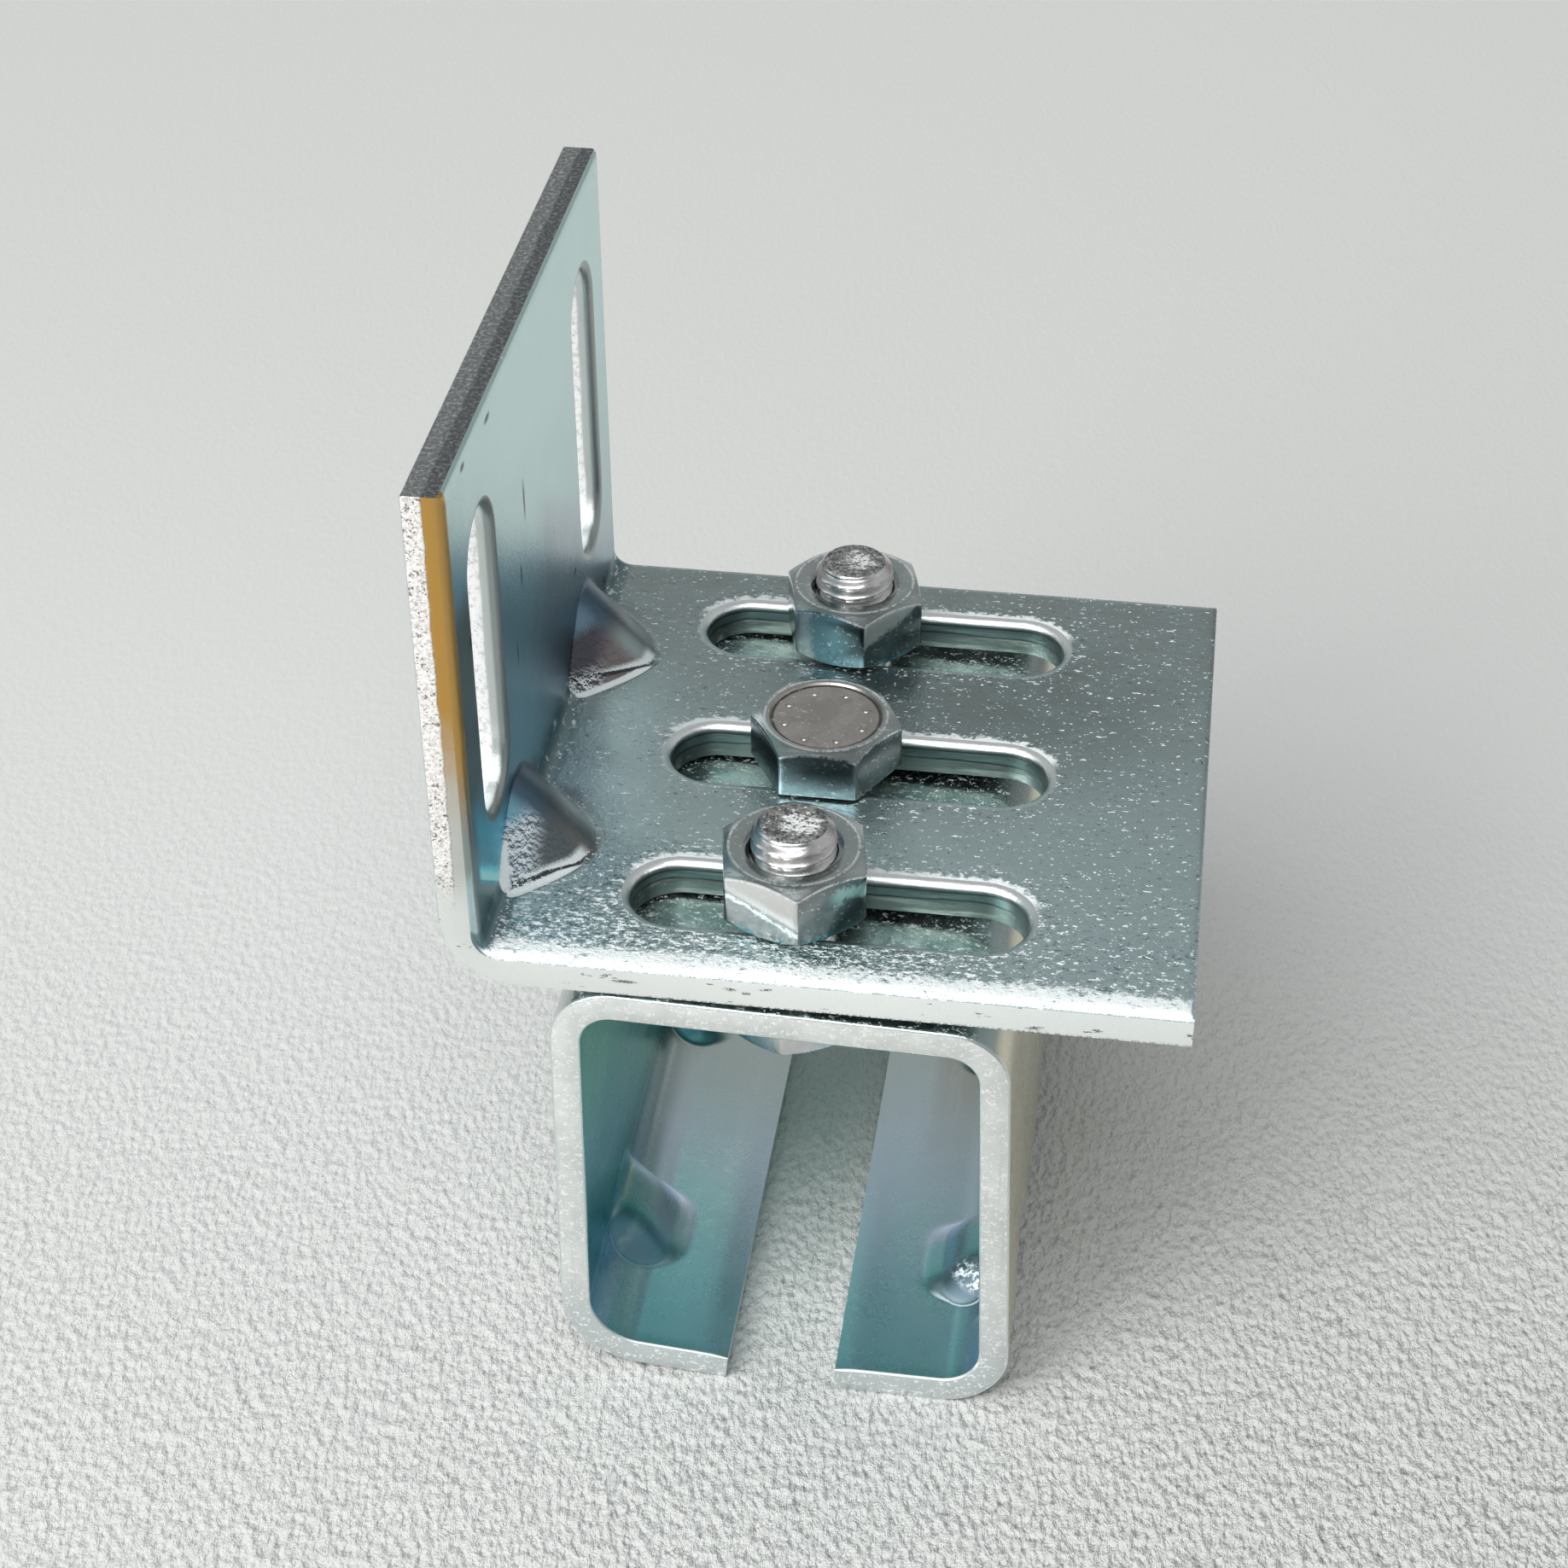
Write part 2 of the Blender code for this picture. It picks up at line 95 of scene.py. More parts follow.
WALL_SLOT_Z = FLANGE_BOTTOM + WALL_HEIGHT - WALL_SLOT_MARGIN - WALL_SLOT_LENGTH / 2

# Rolled and broken edges, and fine forms that the scene adds
ROLL_WIDTH = 0.0012
ROLL_DEPTH = 0.0007
BURR = 0.00012
SLOT_ROLL = 0.0009
SLEEVE_ROLL = 0.0003
GUSSET_GROOVE = 0.00010
THREAD_DEPTH = 0.00072
THREAD_RADIUS = BOLT_DIAMETER / 2 - 0.00004
TIP_CHAMFER = 0.00085
HEAD_RECESS = 0.00026
NUT_BORE = BOLT_DIAMETER / 2 + 0.00010
NUT_MOUTH = 0.00465
PIP_CIRCLE = 0.0041
PIP_RADIUS = 0.00042
SEGMENTS = 192
ANGLES = [2 * pi * i / SEGMENTS for i in range(SEGMENTS)]

scene = bpy.context.scene
collection = bpy.data.collections.new("looks")
scene.collection.children.link(collection)


# Small helpers
def between(start, end, steps):
    return [start + (end - start) * i / steps for i in range(steps + 1)]


def arc(centre, radius, start, end, steps):
    return [centre + radius * Vector((cos(a), sin(a))) for a in between(start, end, steps)]


def smooth_rise(value, blend):
    if value <= -blend:
        return 0.0
    if value >= blend:
        return value
    return (value + blend) ** 2 / (4 * blend)


def spaced(stops, steps):
    """Values through the stops, with about the given step between them."""
    out = [stops[0]]
    for (a, b), step in zip(zip(stops, stops[1:]), steps):
        out += between(a, b, max(1, round(abs(b - a) / step)))[1:]
    return out


def roll(distance, width, depth):
    """How far a face drops near a sheared edge: a quarter of an ellipse."""
    if distance >= width:
        return 0.0
    t = 1 - max(distance, 0.0) / width
    return depth * (1 - sqrt(max(1 - t * t, 0.0)))


def placed(obj):
    collection.objects.link(obj)
    return obj


def to_mesh(work, name, outward=True):
    if outward:
        bmesh.ops.recalc_face_normals(work, faces=work.faces)
    mesh = bpy.data.meshes.new(name)
    work.to_mesh(mesh)
    work.free()
    return mesh


def shown(name, mesh, materials):
    for material in materials:
        mesh.materials.append(material)
    return placed(bpy.data.objects.new(name, mesh))


def seat(obj, angle, body, slot, node=None):
    """Shades a piece smooth up to the angle, and says what it rides on and replaces; the slot is not
    used.
    """
    obj.data.shade_smooth()
    obj.data.set_sharp_from_angle(angle=radians(angle))
    if node:
        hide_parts(node)
    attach(obj, body)


def cut(obj, tool_work, index):
    """Cuts the tool out of the piece; the cut faces get the piece's material of that index."""
    tool = shown("tool", to_mesh(tool_work, "tool"), obj.data.materials)
    for polygon in tool.data.polygons:
        polygon.material_index = index
    modifier = obj.modifiers.new("Cut", "BOOLEAN")
    modifier.operation = "DIFFERENCE"
    modifier.solver = "EXACT"
    modifier.object = tool
    bpy.context.view_layer.update()
    evaluated = obj.evaluated_get(bpy.context.evaluated_depsgraph_get())
    mesh = bpy.data.meshes.new_from_object(evaluated)
    obj.modifiers.clear()
    obj.data = mesh
    bpy.data.objects.remove(tool, do_unlink=True)


# Materials
class Nodes:
    """A tree of nodes, written as sums and masks."""

    def __init__(self, tree):
        self.tree = tree

    def put(self, socket, value):
        if isinstance(value, Term):
            self.tree.links.new(value.socket, socket)
        elif isinstance(value, tuple):
            socket.default_value = (*value, 1.0) if len(socket.default_value) == 4 else value
        else:
            socket.default_value = value

    def new(self, kind, inputs, output=0, **settings):
        """A new node's output; the inputs are values or other nodes' outputs."""
        node = self.tree.nodes.new("ShaderNode" + kind)
        for key, value in settings.items():
            setattr(node, key, value)
        for key, value in inputs.items():
            self.put(node.inputs[key], value)
        return Term(self, node.outputs[output])

    def math(self, operation, *values, clamp=False):
        return self.new("Math", dict(enumerate(values)), operation=operation, use_clamp=clamp)

    def ramp(self, value, low, high, start, end):
        ends = {"From Min": low, "From Max": high, "To Min": start, "To Max": end}
        return self.new("MapRange", {"Value": value, **ends}, interpolation_type="SMOOTHSTEP")


class Shade(Nodes):
    """One material, over places on the piece; its colour is laid coat by coat."""

    def __init__(self, name):
        self.material = bpy.data.materials.new(name)
        self.material.use_nodes = True
        super().__init__(self.material.node_tree)
        self.shader = self.tree.nodes["Principled BSDF"]
        self.place = self.new("TexCoord", {}, "Object")
        self.x, self.y, self.z = self.split(self.place)
        turned = self.new(
            "VectorTransform", {0: self.new("NewGeometry", {}, "Normal")},
            vector_type="NORMAL", convert_from="WORLD", convert_to="OBJECT",
        )
        self.nx, self.ny, self.nz = self.split(turned)

    def split(self, vector):
        first = self.new("SeparateXYZ", {0: vector})
        return [Term(self, output) for output in first.socket.node.outputs]

    def spot(self, centre, radii, soft=0.4):
        """1 at a place on the piece, 0 outside an ellipsoid round it."""
        total = None
        for axis, middle, radius in zip((self.x, self.y, self.z), centre, radii):
            if radius is None:
                continue
            term = ((axis - middle) * (1 / radius)).square()
            total = term if total is None else total + term
        return total.root().rise(1 + soft, 1 - soft)

    def texture(self, kind, size, stretch, shift, output, inputs, **settings):
        place = self.new("Mapping", {"Vector": self.place, "Scale": stretch, "Location": shift})
        return self.new(kind, {"Vector": place, "Scale": 1 / size, **inputs}, output, **settings)

    def noise(self, size, detail=2.0, rough=0.5, stretch=(1, 1, 1), shift=(0, 0, 0)):
        """Noise from 0 to 1 with features about size metres wide."""
        inputs = {"Detail": detail, "Roughness": rough}
        return self.texture("TexNoise", size, stretch, shift, "Fac", inputs)

    def cells(self, size, stretch):
        return self.texture(
            "TexVoronoi", size, stretch, (0, 0, 0), "Distance", {},
            voronoi_dimensions="2D", feature="SMOOTH_F1",
        )

    def relief(self, size, reach, detail=2.0, rough=0.6, stretch=(1, 1, 1), shift=(0, 0, 0)):
        """How small bumps look when lit from behind: about -0.2 to 0.2, with both sides alike."""
        moved = (shift[0], shift[1] + reach, shift[2] + reach)
        first = self.noise(size, detail, rough, stretch, shift)
        return first - self.noise(size, detail, rough, stretch, moved)

    def mix(self, factor, first, second):
        return self.new("Mix", {0: factor, 6: first, 7: second}, 2, data_type="RGBA")

    def paint(self, mask, over):
        """Lays a coat over the colour so far, where the mask is 1."""
        self.colour = self.mix(mask, self.colour, over)

    def finish(self, roughness, height, distance, strength, metallic=1.0):
        inputs = {"Strength": strength, "Distance": distance, "Height": height}
        for key, value in (
            ("Base Color", self.colour), ("Roughness", roughness),
            ("Metallic", metallic), ("Normal", self.new("Bump", inputs)),
        ):
            self.put(self.shader.inputs[key], value)
        return self.material


class Term:
    """A value in a material, which can be added, multiplied and so on."""

    def __init__(self, nodes, socket):
        self.nodes = nodes
        self.socket = socket

    def __add__(self, other):
        return self.nodes.math("ADD", self, other)

    def __sub__(self, other):
        return self.nodes.math("SUBTRACT", self, other)

    def __rsub__(self, other):
        return self.nodes.math("SUBTRACT", other, self)

    def __mul__(self, other):
        return self.nodes.math("MULTIPLY", self, other)

    __radd__ = __add__
    __rmul__ = __mul__

    def square(self):
        return self * self

    def root(self):
        return self.nodes.math("SQRT", self)

    def size(self):
        return self.nodes.math("ABSOLUTE", self)

    def least(self, other):
        return self.nodes.math("MINIMUM", self, other)

    def most(self, other):
        return self.nodes.math("MAXIMUM", self, other)

    def clamp(self):
        return self.nodes.math("MULTIPLY", self, 1.0, clamp=True)

    def sway(self, reach):
        """Noise moved to both sides of 0."""
        return (self - 0.5) * reach

    def rise(self, low, high):
        """0 below low, 1 above high, smooth between; low may be the greater."""
        if low < high:
            return self.nodes.ramp(self, low, high, 0.0, 1.0)
        return self.nodes.ramp(self, high, low, 1.0, 0.0)

    def band(self, low, high, soft):
        """1 between low and high, fading to 0 within soft on both sides of each."""
        return self.rise(low - soft, low + soft) * self.rise(high + soft, high - soft)


def slot_distance(along, across, length, width):
    """Distance outside a slot's outline, from its middle's coordinates."""
    past = (along.size() - (length - width) / 2).most(0.0)
    return (past.square() + across.square()).root() - width / 2


# Angle bracket
def gusset_crest(s, centre):
    """How far out of the corner the gusset at the centre reaches; below 0 beside it."""
    away = (s.y - centre).size()
    slope = ((away.square() + GUSSET_CREST**2).root() - GUSSET_CREST) * (1 / GUSSET_SLOPE)
    return (1.0 - slope) * GUSSET_REACH


def bracket_material():
    s = Shade("bracket_plating")
    upward = s.z.rise(FLANGE_TOP - 0.001, FLANGE_TOP)
    inner = s.nx.rise(0.75, 0.95) * upward
    inner = inner.most(s.nx.rise(-0.1, 0.1) * s.z.rise(0.0600, 0.0625))

    mottle = s.noise(0.0045, 4, 0.6)
    cloud = s.noise(0.018, 3, 0.5, shift=(3, 1, 2))
    grain = s.noise(0.00045, 3, 0.65)
    fine = s.noise(0.00018, 2, 0.6)

    # flange: pale teal grey; painted reflection makes it lighter to the near edge and by the bend, and
    # painted shade dims a broad patch right of the fasteners
    nearer = (s.y + cloud.sway(0.02)).rise(0.030, -0.032)
    flange = s.mix(nearer, (0.33, 0.39, 0.38), (0.54, 0.68, 0.69))
    dim = s.spot((0.011, 0.012, 0), (0.016, 0.011, None), 0.8)
    flange = s.mix(dim * 0.5, flange, (0.15, 0.19, 0.18))
    flange = s.mix(s.x.rise(-0.015, -0.026) * nearer, flange, (0.58, 0.76, 0.80))
    flange = s.mix(mottle.rise(0.35, 0.75) * 0.3, flange, (0.38, 0.50, 0.52))

    # wall: pale aqua, and below a slanting line steel blue, then navy towards the far end; these, the
    # lavender band and the dark strip are painted reflections over the passivate tint
    slant = s.z + s.y * 0.62 + cloud.sway(0.004)
    wall = s.mix(s.z.rise(0.058, 0.094), (0.53, 0.70, 0.71), (0.66, 0.86, 0.84))
    lavender = slant.band(0.0745, 0.0800, 0.0025) * s.y.rise(-0.004, 0.006)
    wall = s.mix(lavender * 0.6, wall, (0.48, 0.52, 0.60))
    farther = (s.y + mottle.sway(0.01)).rise(-0.012, 0.006)
    steel = s.mix(farther, (0.19, 0.44, 0.58), (0.13, 0.23, 0.32))
    wall = s.mix(slant.rise(0.0785, 0.0705) * 0.90, wall, steel)
    strip = s.y.rise(-0.0262, -0.0274) * s.z.rise(0.0900, 0.0860) * s.z.rise(0.066, 0.070)
    wall = s.mix(strip * 0.85, wall, (0.13, 0.17, 0.17))
    # teal here is passivate tint partly painted as reflection; the cyan band is a painted highlight
    # with a white core
    level = s.z + s.y * 0.81
    teal = s.y.rise(-0.0185, -0.0230) * level.rise(0.0440, 0.0400)
    teal_colour = s.mix(level.rise(0.0350, 0.0405), (0.06, 0.46, 0.60), (0.10, 0.72, 0.95))
    teal_colour = s.mix(s.y.rise(-0.0295, -0.0325), teal_colour, (0.16, 0.30, 0.34))
    wall = s.mix(teal * 0.95, wall, teal_colour)
    ragged_level = level + grain.sway(0.0010)
    cyan = level.rise(0.0343, 0.0346) * ragged_level.rise(0.0366, 0.0356)
    cyan = cyan * s.y.band(-0.0308, -0.0238, 0.0007)
    core = (level + grain.sway(0.0012)).rise(0.0359, 0.0351)
    wall = s.mix(cyan, wall, s.mix(core, (0.08, 0.80, 0.95), (0.42, 1.0, 1.0)))
    # painted shade in the low near corner of the bend, and a thin painted highlight line on it
    corner = level.rise(0.0342, 0.0337) * s.y.rise(-0.0215, -0.0230)
    wall = s.mix(corner * 0.95, wall, (0.20, 0.30, 0.31))
    line = s.y.band(-0.0298, -0.0294, 0.0001) * corner * s.z.rise(0.0550, 0.0540)
    wall = s.mix(line, wall, (0.9, 1.0, 1.0))
    amber_edge = (s.y + grain.sway(0.0004)).rise(-0.0319, -0.0323) * s.z.rise(0.064, 0.076)
    wall = s.mix(s.y.rise(-0.0319, -0.0323) * 0.7, wall, (0.46, 0.47, 0.44))
    wall = s.mix(amber_edge * 0.95, wall, (0.62, 0.36, 0.10))
    s.colour = s.mix(inner, flange, wall)

    # gussets: speckled silver with painted glints and dark specks to the near side, brown over the
    # crest, and navy up the wall as painted reflection.
    # At the near foot a painted highlight line, a painted shade line and a wide painted highlight run
    # down to the bend.
    low = s.z - FLANGE_TOP
    by_wall = (s.x + mottle.sway(0.001)).rise(-0.0266, -0.0287)
    height = s.x + s.z - CORNER
    glint = 0.0
    for centre, begin, slope, cap, spread, browns, flanks in (
        (
            -GUSSET_Y, 0.0032, 0.25, 0.0006, 0.09,
            ((0.10, 0.11, 0.13), (0.18, 0.18, 0.17)), ((0.12, 0.14, 0.15), (0.34, 0.44, 0.53)),
        ),
        (
            GUSSET_Y, 0.0019, 0.29, 0.0014, 0.02,
            ((0.13, 0.11, 0.12), (0.27, 0.25, 0.24)), ((0.24, 0.20, 0.20), (0.09, 0.08, 0.10)),
        ),
    ):
        crest = gusset_crest(s, centre)
        above = height - crest
        pressed = above.rise(0.0006, 0.0001) * crest.rise(0.0001, 0.0006)
        away = centre - s.y
        near_side = (away + mottle.sway(0.0020)).rise(0.0014, 0.0034)
        far_side = (away + mottle.sway(0.001)).rise(0.0012, -0.0028)
        brown = s.mix(s.x.rise(-0.0290, -0.0240), *browns)
        if centre > 0:
            brown = s.mix((s.x + mottle.sway(0.002)).rise(-0.0284, -0.0256) * 0.9, brown, flange)
        streak = (away + cloud.sway(0.0010)).band(-0.0004, 0.0004, 0.0005)
        brown = s.mix(streak * 0.5, brown, (0.07, 0.07, 0.08))
        brown = s.mix(far_side * s.z.rise(0.0575, 0.0550), brown, flange)
        brown = s.mix((s.z + mottle.sway(0.002)).rise(0.0555, 0.0585), brown, (0.08, 0.14, 0.20))
        flank = s.mix(by_wall, *flanks)
        flank = s.mix((s.z + mottle.sway(0.001)).rise(0.0572, 0.0586), flank, wall)
        s.paint(pressed * 0.95, s.mix(near_side, brown, flank))
        # painted glints and dark painted shade specks on the near flank's small bumps
        tuft = s.relief(0.0007, 0.0001, 3, 0.7, shift=(2, 6, 1)) + mottle.sway(0.05)
        speckled = pressed * near_side * s.z.rise(0.0590, 0.0570)
        tuft_light = tuft.rise(-0.01, 0.035) * speckled * (by_wall * 0.97 + 0.03)
        if centre > 0:
            tuft_light = tuft_light * low.rise(0.0026, 0.0008)
        s.paint(tuft.rise(-0.03, -0.10) * speckled * (by_wall * 0.5 + 0.35), (0.06, 0.08, 0.10))
        # painted highlight lines and painted shade lines along the gusset's foot
        dark_at = ((away - begin) * slope).most(0.00002).least(cap)
        wide = (away - 0.0033).most(0.0) * spread + 0.0003
        length = away.rise(begin - 0.0012, begin)
        length = length * away.rise(GUSSET_HALF_WIDTH + 0.0016, GUSSET_HALF_WIDTH + 0.0008)
        foot_top = dark_at.least(0.00042)
        foot = (above - wide).rise(0.0001, -0.0001) * (low - foot_top).rise(-0.00004, -0.00018)
        foot = foot * length * s.z.rise(FLANGE_TOP - 0.0006, FLANGE_TOP - 0.0004)
        over = low - dark_at + fine.sway(0.0004)
        thick = (away - begin) * (-0.12) + 0.0010
        upper = over.rise(0.00010, 0.00018) * (over - thick).rise(0.0, -0.0005) * pressed
        upper = upper * away.rise(begin - 0.0022, begin - 0.0008) * away.rise(0.0078, 0.0066)
        half = (away - begin).most(0.0) * 0.060 + 0.00003
        dark = ((low - dark_at).size() - half).rise(0.00008, -0.00004)
        dark = dark * length * above.rise(0.0008, 0.0003)
        below = (above - wide).band(0.00018, 0.00034, 0.00008) * length * low.rise(0.0002, 0.0)
        s.paint((dark + below * 0.7).clamp() * 0.9, (0.03, 0.04, 0.05))
        glint = glint + foot + upper * 0.9 + tuft_light
        if centre < 0:
            # a painted highlight sliver where the near gusset meets the wall
            sliver = s.z.band(0.0533, 0.0568, 0.0005) * above.rise(-0.0010, -0.0003)
            sliver = sliver * above.rise(0.0005, 0.0002) * away.rise(0.0042, 0.0050)
            leaned = s.x + (s.z - 0.0535) * 0.20
            glint = glint + sliver * leaned.rise(WALL_FACE + 0.0011, WALL_FACE + 0.0008)
        glint = glint.clamp()
    # beyond each gusset a painted brown shade fades out over the bend and the flange
    for centre, strength in ((-GUSSET_Y, 0.75), (GUSSET_Y, 0.40)):
        beyond = (s.y - centre - 0.0015) * 0.55
        halo = (height + beyond).rise(0.0092, 0.0058)
        halo = halo * (s.y - centre).band(0.0005, 0.0085, 0.0012) * s.z.rise(0.0590, 0.0560)
        s.paint(halo * strength * s.z.rise(FLANGE_TOP - 0.001, FLANGE_TOP - 0.0005), (0.20, 0.20, 0.21))
    # the far gusset's far side gets a painted pale highlight streak
    streak = s.y.band(GUSSET_Y + 0.0046, GUSSET_Y + 0.0056, 0.0007) * s.z.band(0.0532, 0.0570, 0.0008)
    s.paint(streak * s.x.rise(-0.0265, -0.0285) * 0.7, (0.62, 0.66, 0.74))
    # the bend between and beside them: painted shade darkens the fold, with pale streaks of wear and
    # painted sheen
    fold = height.rise(0.0020, 0.0014) * upward
    wear_and_sheen = s.noise(0.0009, 3, 0.7, stretch=(1, 0.6, 1), shift=(4, 4, 1)).rise(0.54, 0.66)
    wear_and_sheen = wear_and_sheen * s.y.rise(-0.0240, -0.0225)
    fold_colour = s.mix(wear_and_sheen, (0.13, 0.22, 0.24), (0.55, 0.62, 0.62))
    fold = fold * (1.0 - glint)
    s.paint(fold * 0.8, fold_colour)
    glint = (glint + fold * wear_and_sheen.rise(0.6, 1.0) * 0.5).clamp()
    # painted highlight lines along both edges of the bend's arc
    bend_highlight = height.band(0.0004, 0.0007, 0.0001) + height.band(0.0018, 0.0021, 0.0001)
    bend_highlight = bend_highlight * upward * wear_and_sheen.rise(0.0, 0.5)
    s.paint(bend_highlight.clamp() * 0.6, (0.85, 0.92, 0.92))
    # the sheet's outer side has none of this
    behind = (s.nx + s.nz).rise(-0.05, -0.30)
    s.paint(behind, flange)
    glint = glint * (1.0 - behind)

    # painted highlights on the rolled rims of the near edge and the slots
    along = s.y + SLOT_PITCH / 2
    folded = s.math("PINGPONG", along, SLOT_PITCH / 2)
    to_slot = slot_distance(s.x, folded - SLOT_PITCH / 2, SLOT_LENGTH, SLOT_WIDTH)
    rim = (to_slot + grain.sway(0.0012)).rise(0.0012, 0.0007) * s.z.rise(0.0522, 0.0526)
    rim = rim * s.ny.rise(0.25, -0.15)
    local = s.math("MODULO", s.y + 1.5 * SLOT_PITCH, SLOT_PITCH) - SLOT_PITCH / 2
    fringe = s.noise(0.0008, 3, 0.7, stretch=(0.8, 1, 1), shift=(5, 5, 5))
    beyond_slot = (to_slot + fringe.sway(0.0030)).rise(0.0018, 0.0012) * to_slot.rise(0.0001, 0.0003)
    beyond_slot = beyond_slot * local.rise(0.0015, 0.0035) * s.nz.rise(0.2, 0.4)
    ragged = s.noise(0.0007, 3, 0.75, stretch=(0.6, 1, 1), shift=(7, 1, 3))
    near = (s.y + ragged.sway(0.0060)).rise(-0.0304, -0.0316) * s.nx.rise(0.6, 0.3)
    near = near * s.nz.rise(0.2, 0.4) * ragged.rise(0.30, 0.44)
    s.paint(rim * 0.8, (0.95, 1.0, 1.0))

    # pickled surface: small bumps, thicker by the slots and towards the near edge, with painted shade
    # on their dark sides, painted glints on their lit sides and painted sparkles
    crowd = to_slot.rise(0.0045, 0.0005) * 0.35 + (mottle - 0.40) * 0.7
    crowd = crowd + s.y.rise(-0.010, -0.032) * (0.95 - s.x.rise(0.002, 0.020) * 0.60)
    flat = s.x.rise(WALL_FACE + 0.0002, WALL_FACE + 0.0010)
    flat = flat * s.z.rise(FLANGE_TOP + 0.0008, FLANGE_TOP + 0.0002)
    crowd = (crowd * flat).clamp()
    bumps = s.relief(0.00062, 0.00011, 2, 0.65, stretch=(0.75, 1.0, 1))
    lifted = bumps + (crowd - 0.85) * 0.10
    sunk = bumps - (crowd - 0.80) * 0.09
    s.paint(sunk.rise(-0.060, -0.11) * flat * 0.65, (0.12, 0.17, 0.17))
    sparks = s.noise(0.0007, 1, 0.5, stretch=(1, 0.8, 1), shift=(8, 3, 2)).rise(0.755, 0.780)
    glint = glint + lifted.rise(0.055, 0.085) * flat * 0.9 + near * 0.9
    glint = (glint + beyond_slot * 0.95 + sparks * flat * 0.4).clamp()
    pits = s.noise(0.0011, 2, 0.6, stretch=(0.7, 1.3, 1), shift=(1, 9, 4)).rise(0.72, 0.77)
    s.paint(pits * 0.7 * flat, (0.10, 0.13, 0.14))
    s.paint(glint, (0.94, 0.98, 0.98))

    # a few black flecks and scratches on the wall
    for y, z, half_y, half_z in (
        (-0.0059, 0.0842, 0.0003, 0.0019), (-0.0087, 0.0778, 0.0003, 0.0011),
        (-0.0119, 0.0712, 0.0002, 0.0013), (0.0132, 0.0642, 0.0005, 0.0004),
        (0.0262, 0.0548, 0.0005, 0.0004), (-0.0277, 0.0832, 0.0006, 0.0006),
        (-0.0262, 0.0996, 0.0007, 0.0003), (-0.0171, 0.0991, 0.0009, 0.0003),
    ):
        fleck = s.spot((0, y, z), (None, half_y, half_z), 0.5)
        s.paint(fleck * inner * 0.9, (0.02, 0.03, 0.04))

    roughness = 0.28 + mottle.sway(0.14) + grain * 0.08
    height = grain * (crowd * 1.6 + 0.25) + fine * (crowd * 0.6 + 0.15) + mottle * 0.6 - pits * 0.8
    metallic = 1.0 - (glint + cyan * inner * 0.9).clamp() * 0.85
    return s.finish(roughness, height, 0.00016, 0.8, metallic)


def edge_material():
    """The angle's sheared edges: a smooth band by the punched face, and torn metal below it."""
    s = Shade("bracket_edge")
    cloud = s.noise(0.004, 3, 0.6)
    torn_noise = s.noise(0.00042, 4, 0.75)
    fine = s.noise(0.00012, 2, 0.7)
    crumbs = s.relief(0.0009, 0.00012, 3, 0.7)
    depth = (s.x - BACK_FACE).least(s.z - FLANGE_BOTTOM)
    upright = s.z.rise(FLANGE_TOP + 0.004, FLANGE_TOP + 0.010)
    torn = (depth + cloud.sway(0.0006) + torn_noise.sway(0.0006)).rise(0.0019, 0.0017) * upright

    # amber passivate on the smooth band above, silver below, and the flange's end pale
    amber = (s.z + cloud.sway(0.010)).rise(0.066, 0.080)
    smooth_colour = s.mix(amber, (0.70, 0.72, 0.68), (0.64, 0.37, 0.10))
    flat_colour = s.mix(s.x.rise(BACK_FACE + 0.004, 0.030), (0.95, 0.98, 0.96), (0.84, 0.88, 0.86))
    smooth_colour = s.mix(upright, flat_colour, smooth_colour)
    torn_colour = s.mix(torn_noise.rise(0.38, 0.55), (0.66, 0.62, 0.58), (1.0, 0.98, 0.96))
    # painted shade on the torn metal's small bumps
    torn_colour = s.mix(crumbs.rise(-0.05, -0.11) * 0.85, torn_colour, (0.16, 0.13, 0.12))
    s.colour = s.mix(torn, smooth_colour, torn_colour)

    # dark nicks along the flange's end
    nick_noise = s.noise(0.0016, 3, 0.7, stretch=(0.35, 1, 1.6), shift=(2, 5, 3))
    nicks = nick_noise.rise(0.655, 0.675) * (1.0 - upright) * fine.rise(0.40, 0.50)
    for x, z, half_x in (
        (-0.0172, 0.0510, 0.0011), (-0.0075, 0.0512, 0.0006), (-0.0060, 0.0509, 0.0004),
    ):
        spot = s.spot((x, 0, z + fine.sway(0.0006)), (half_x, None, 0.00016), 0.4)
        nicks = (nicks + spot * torn_noise.rise(0.40, 0.48)).clamp()
    s.paint(nicks * 0.9, (0.05, 0.05, 0.05))
    burr = (s.z + torn_noise.sway(0.0012)).rise(FLANGE_BOTTOM + 0.00045, FLANGE_BOTTOM + 0.0002)
    ragged = burr * torn_noise.rise(0.48, 0.56) * s.x.rise(-0.022, -0.014) * (1.0 - upright)
    s.paint(ragged * 0.9, (0.06, 0.07, 0.07))

    top = s.nz.rise(0.7, 0.9)
    top_colour = s.mix(torn_noise.rise(0.45, 0.68), (0.12, 0.13, 0.13), (0.36, 0.39, 0.38))
    s.paint(top, top_colour)
    right = s.nx.rise(0.7, 0.9)
    s.paint(right, s.mix(torn_noise.rise(0.4, 0.6), (0.36, 0.39, 0.38), (0.74, 0.78, 0.76)))
    rough = (torn + top + right).clamp()
    roughness = 0.34 + rough * 0.14 + cloud.sway(0.1)
    height = torn_noise * (0.12 + rough) + fine * 0.2
    metallic = 1.0 - (torn * 0.65 + (1.0 - upright) * s.x.rise(-0.028, 0.010) * 0.35).clamp()
    return s.finish(roughness, height, 0.00022, 0.8, metallic)


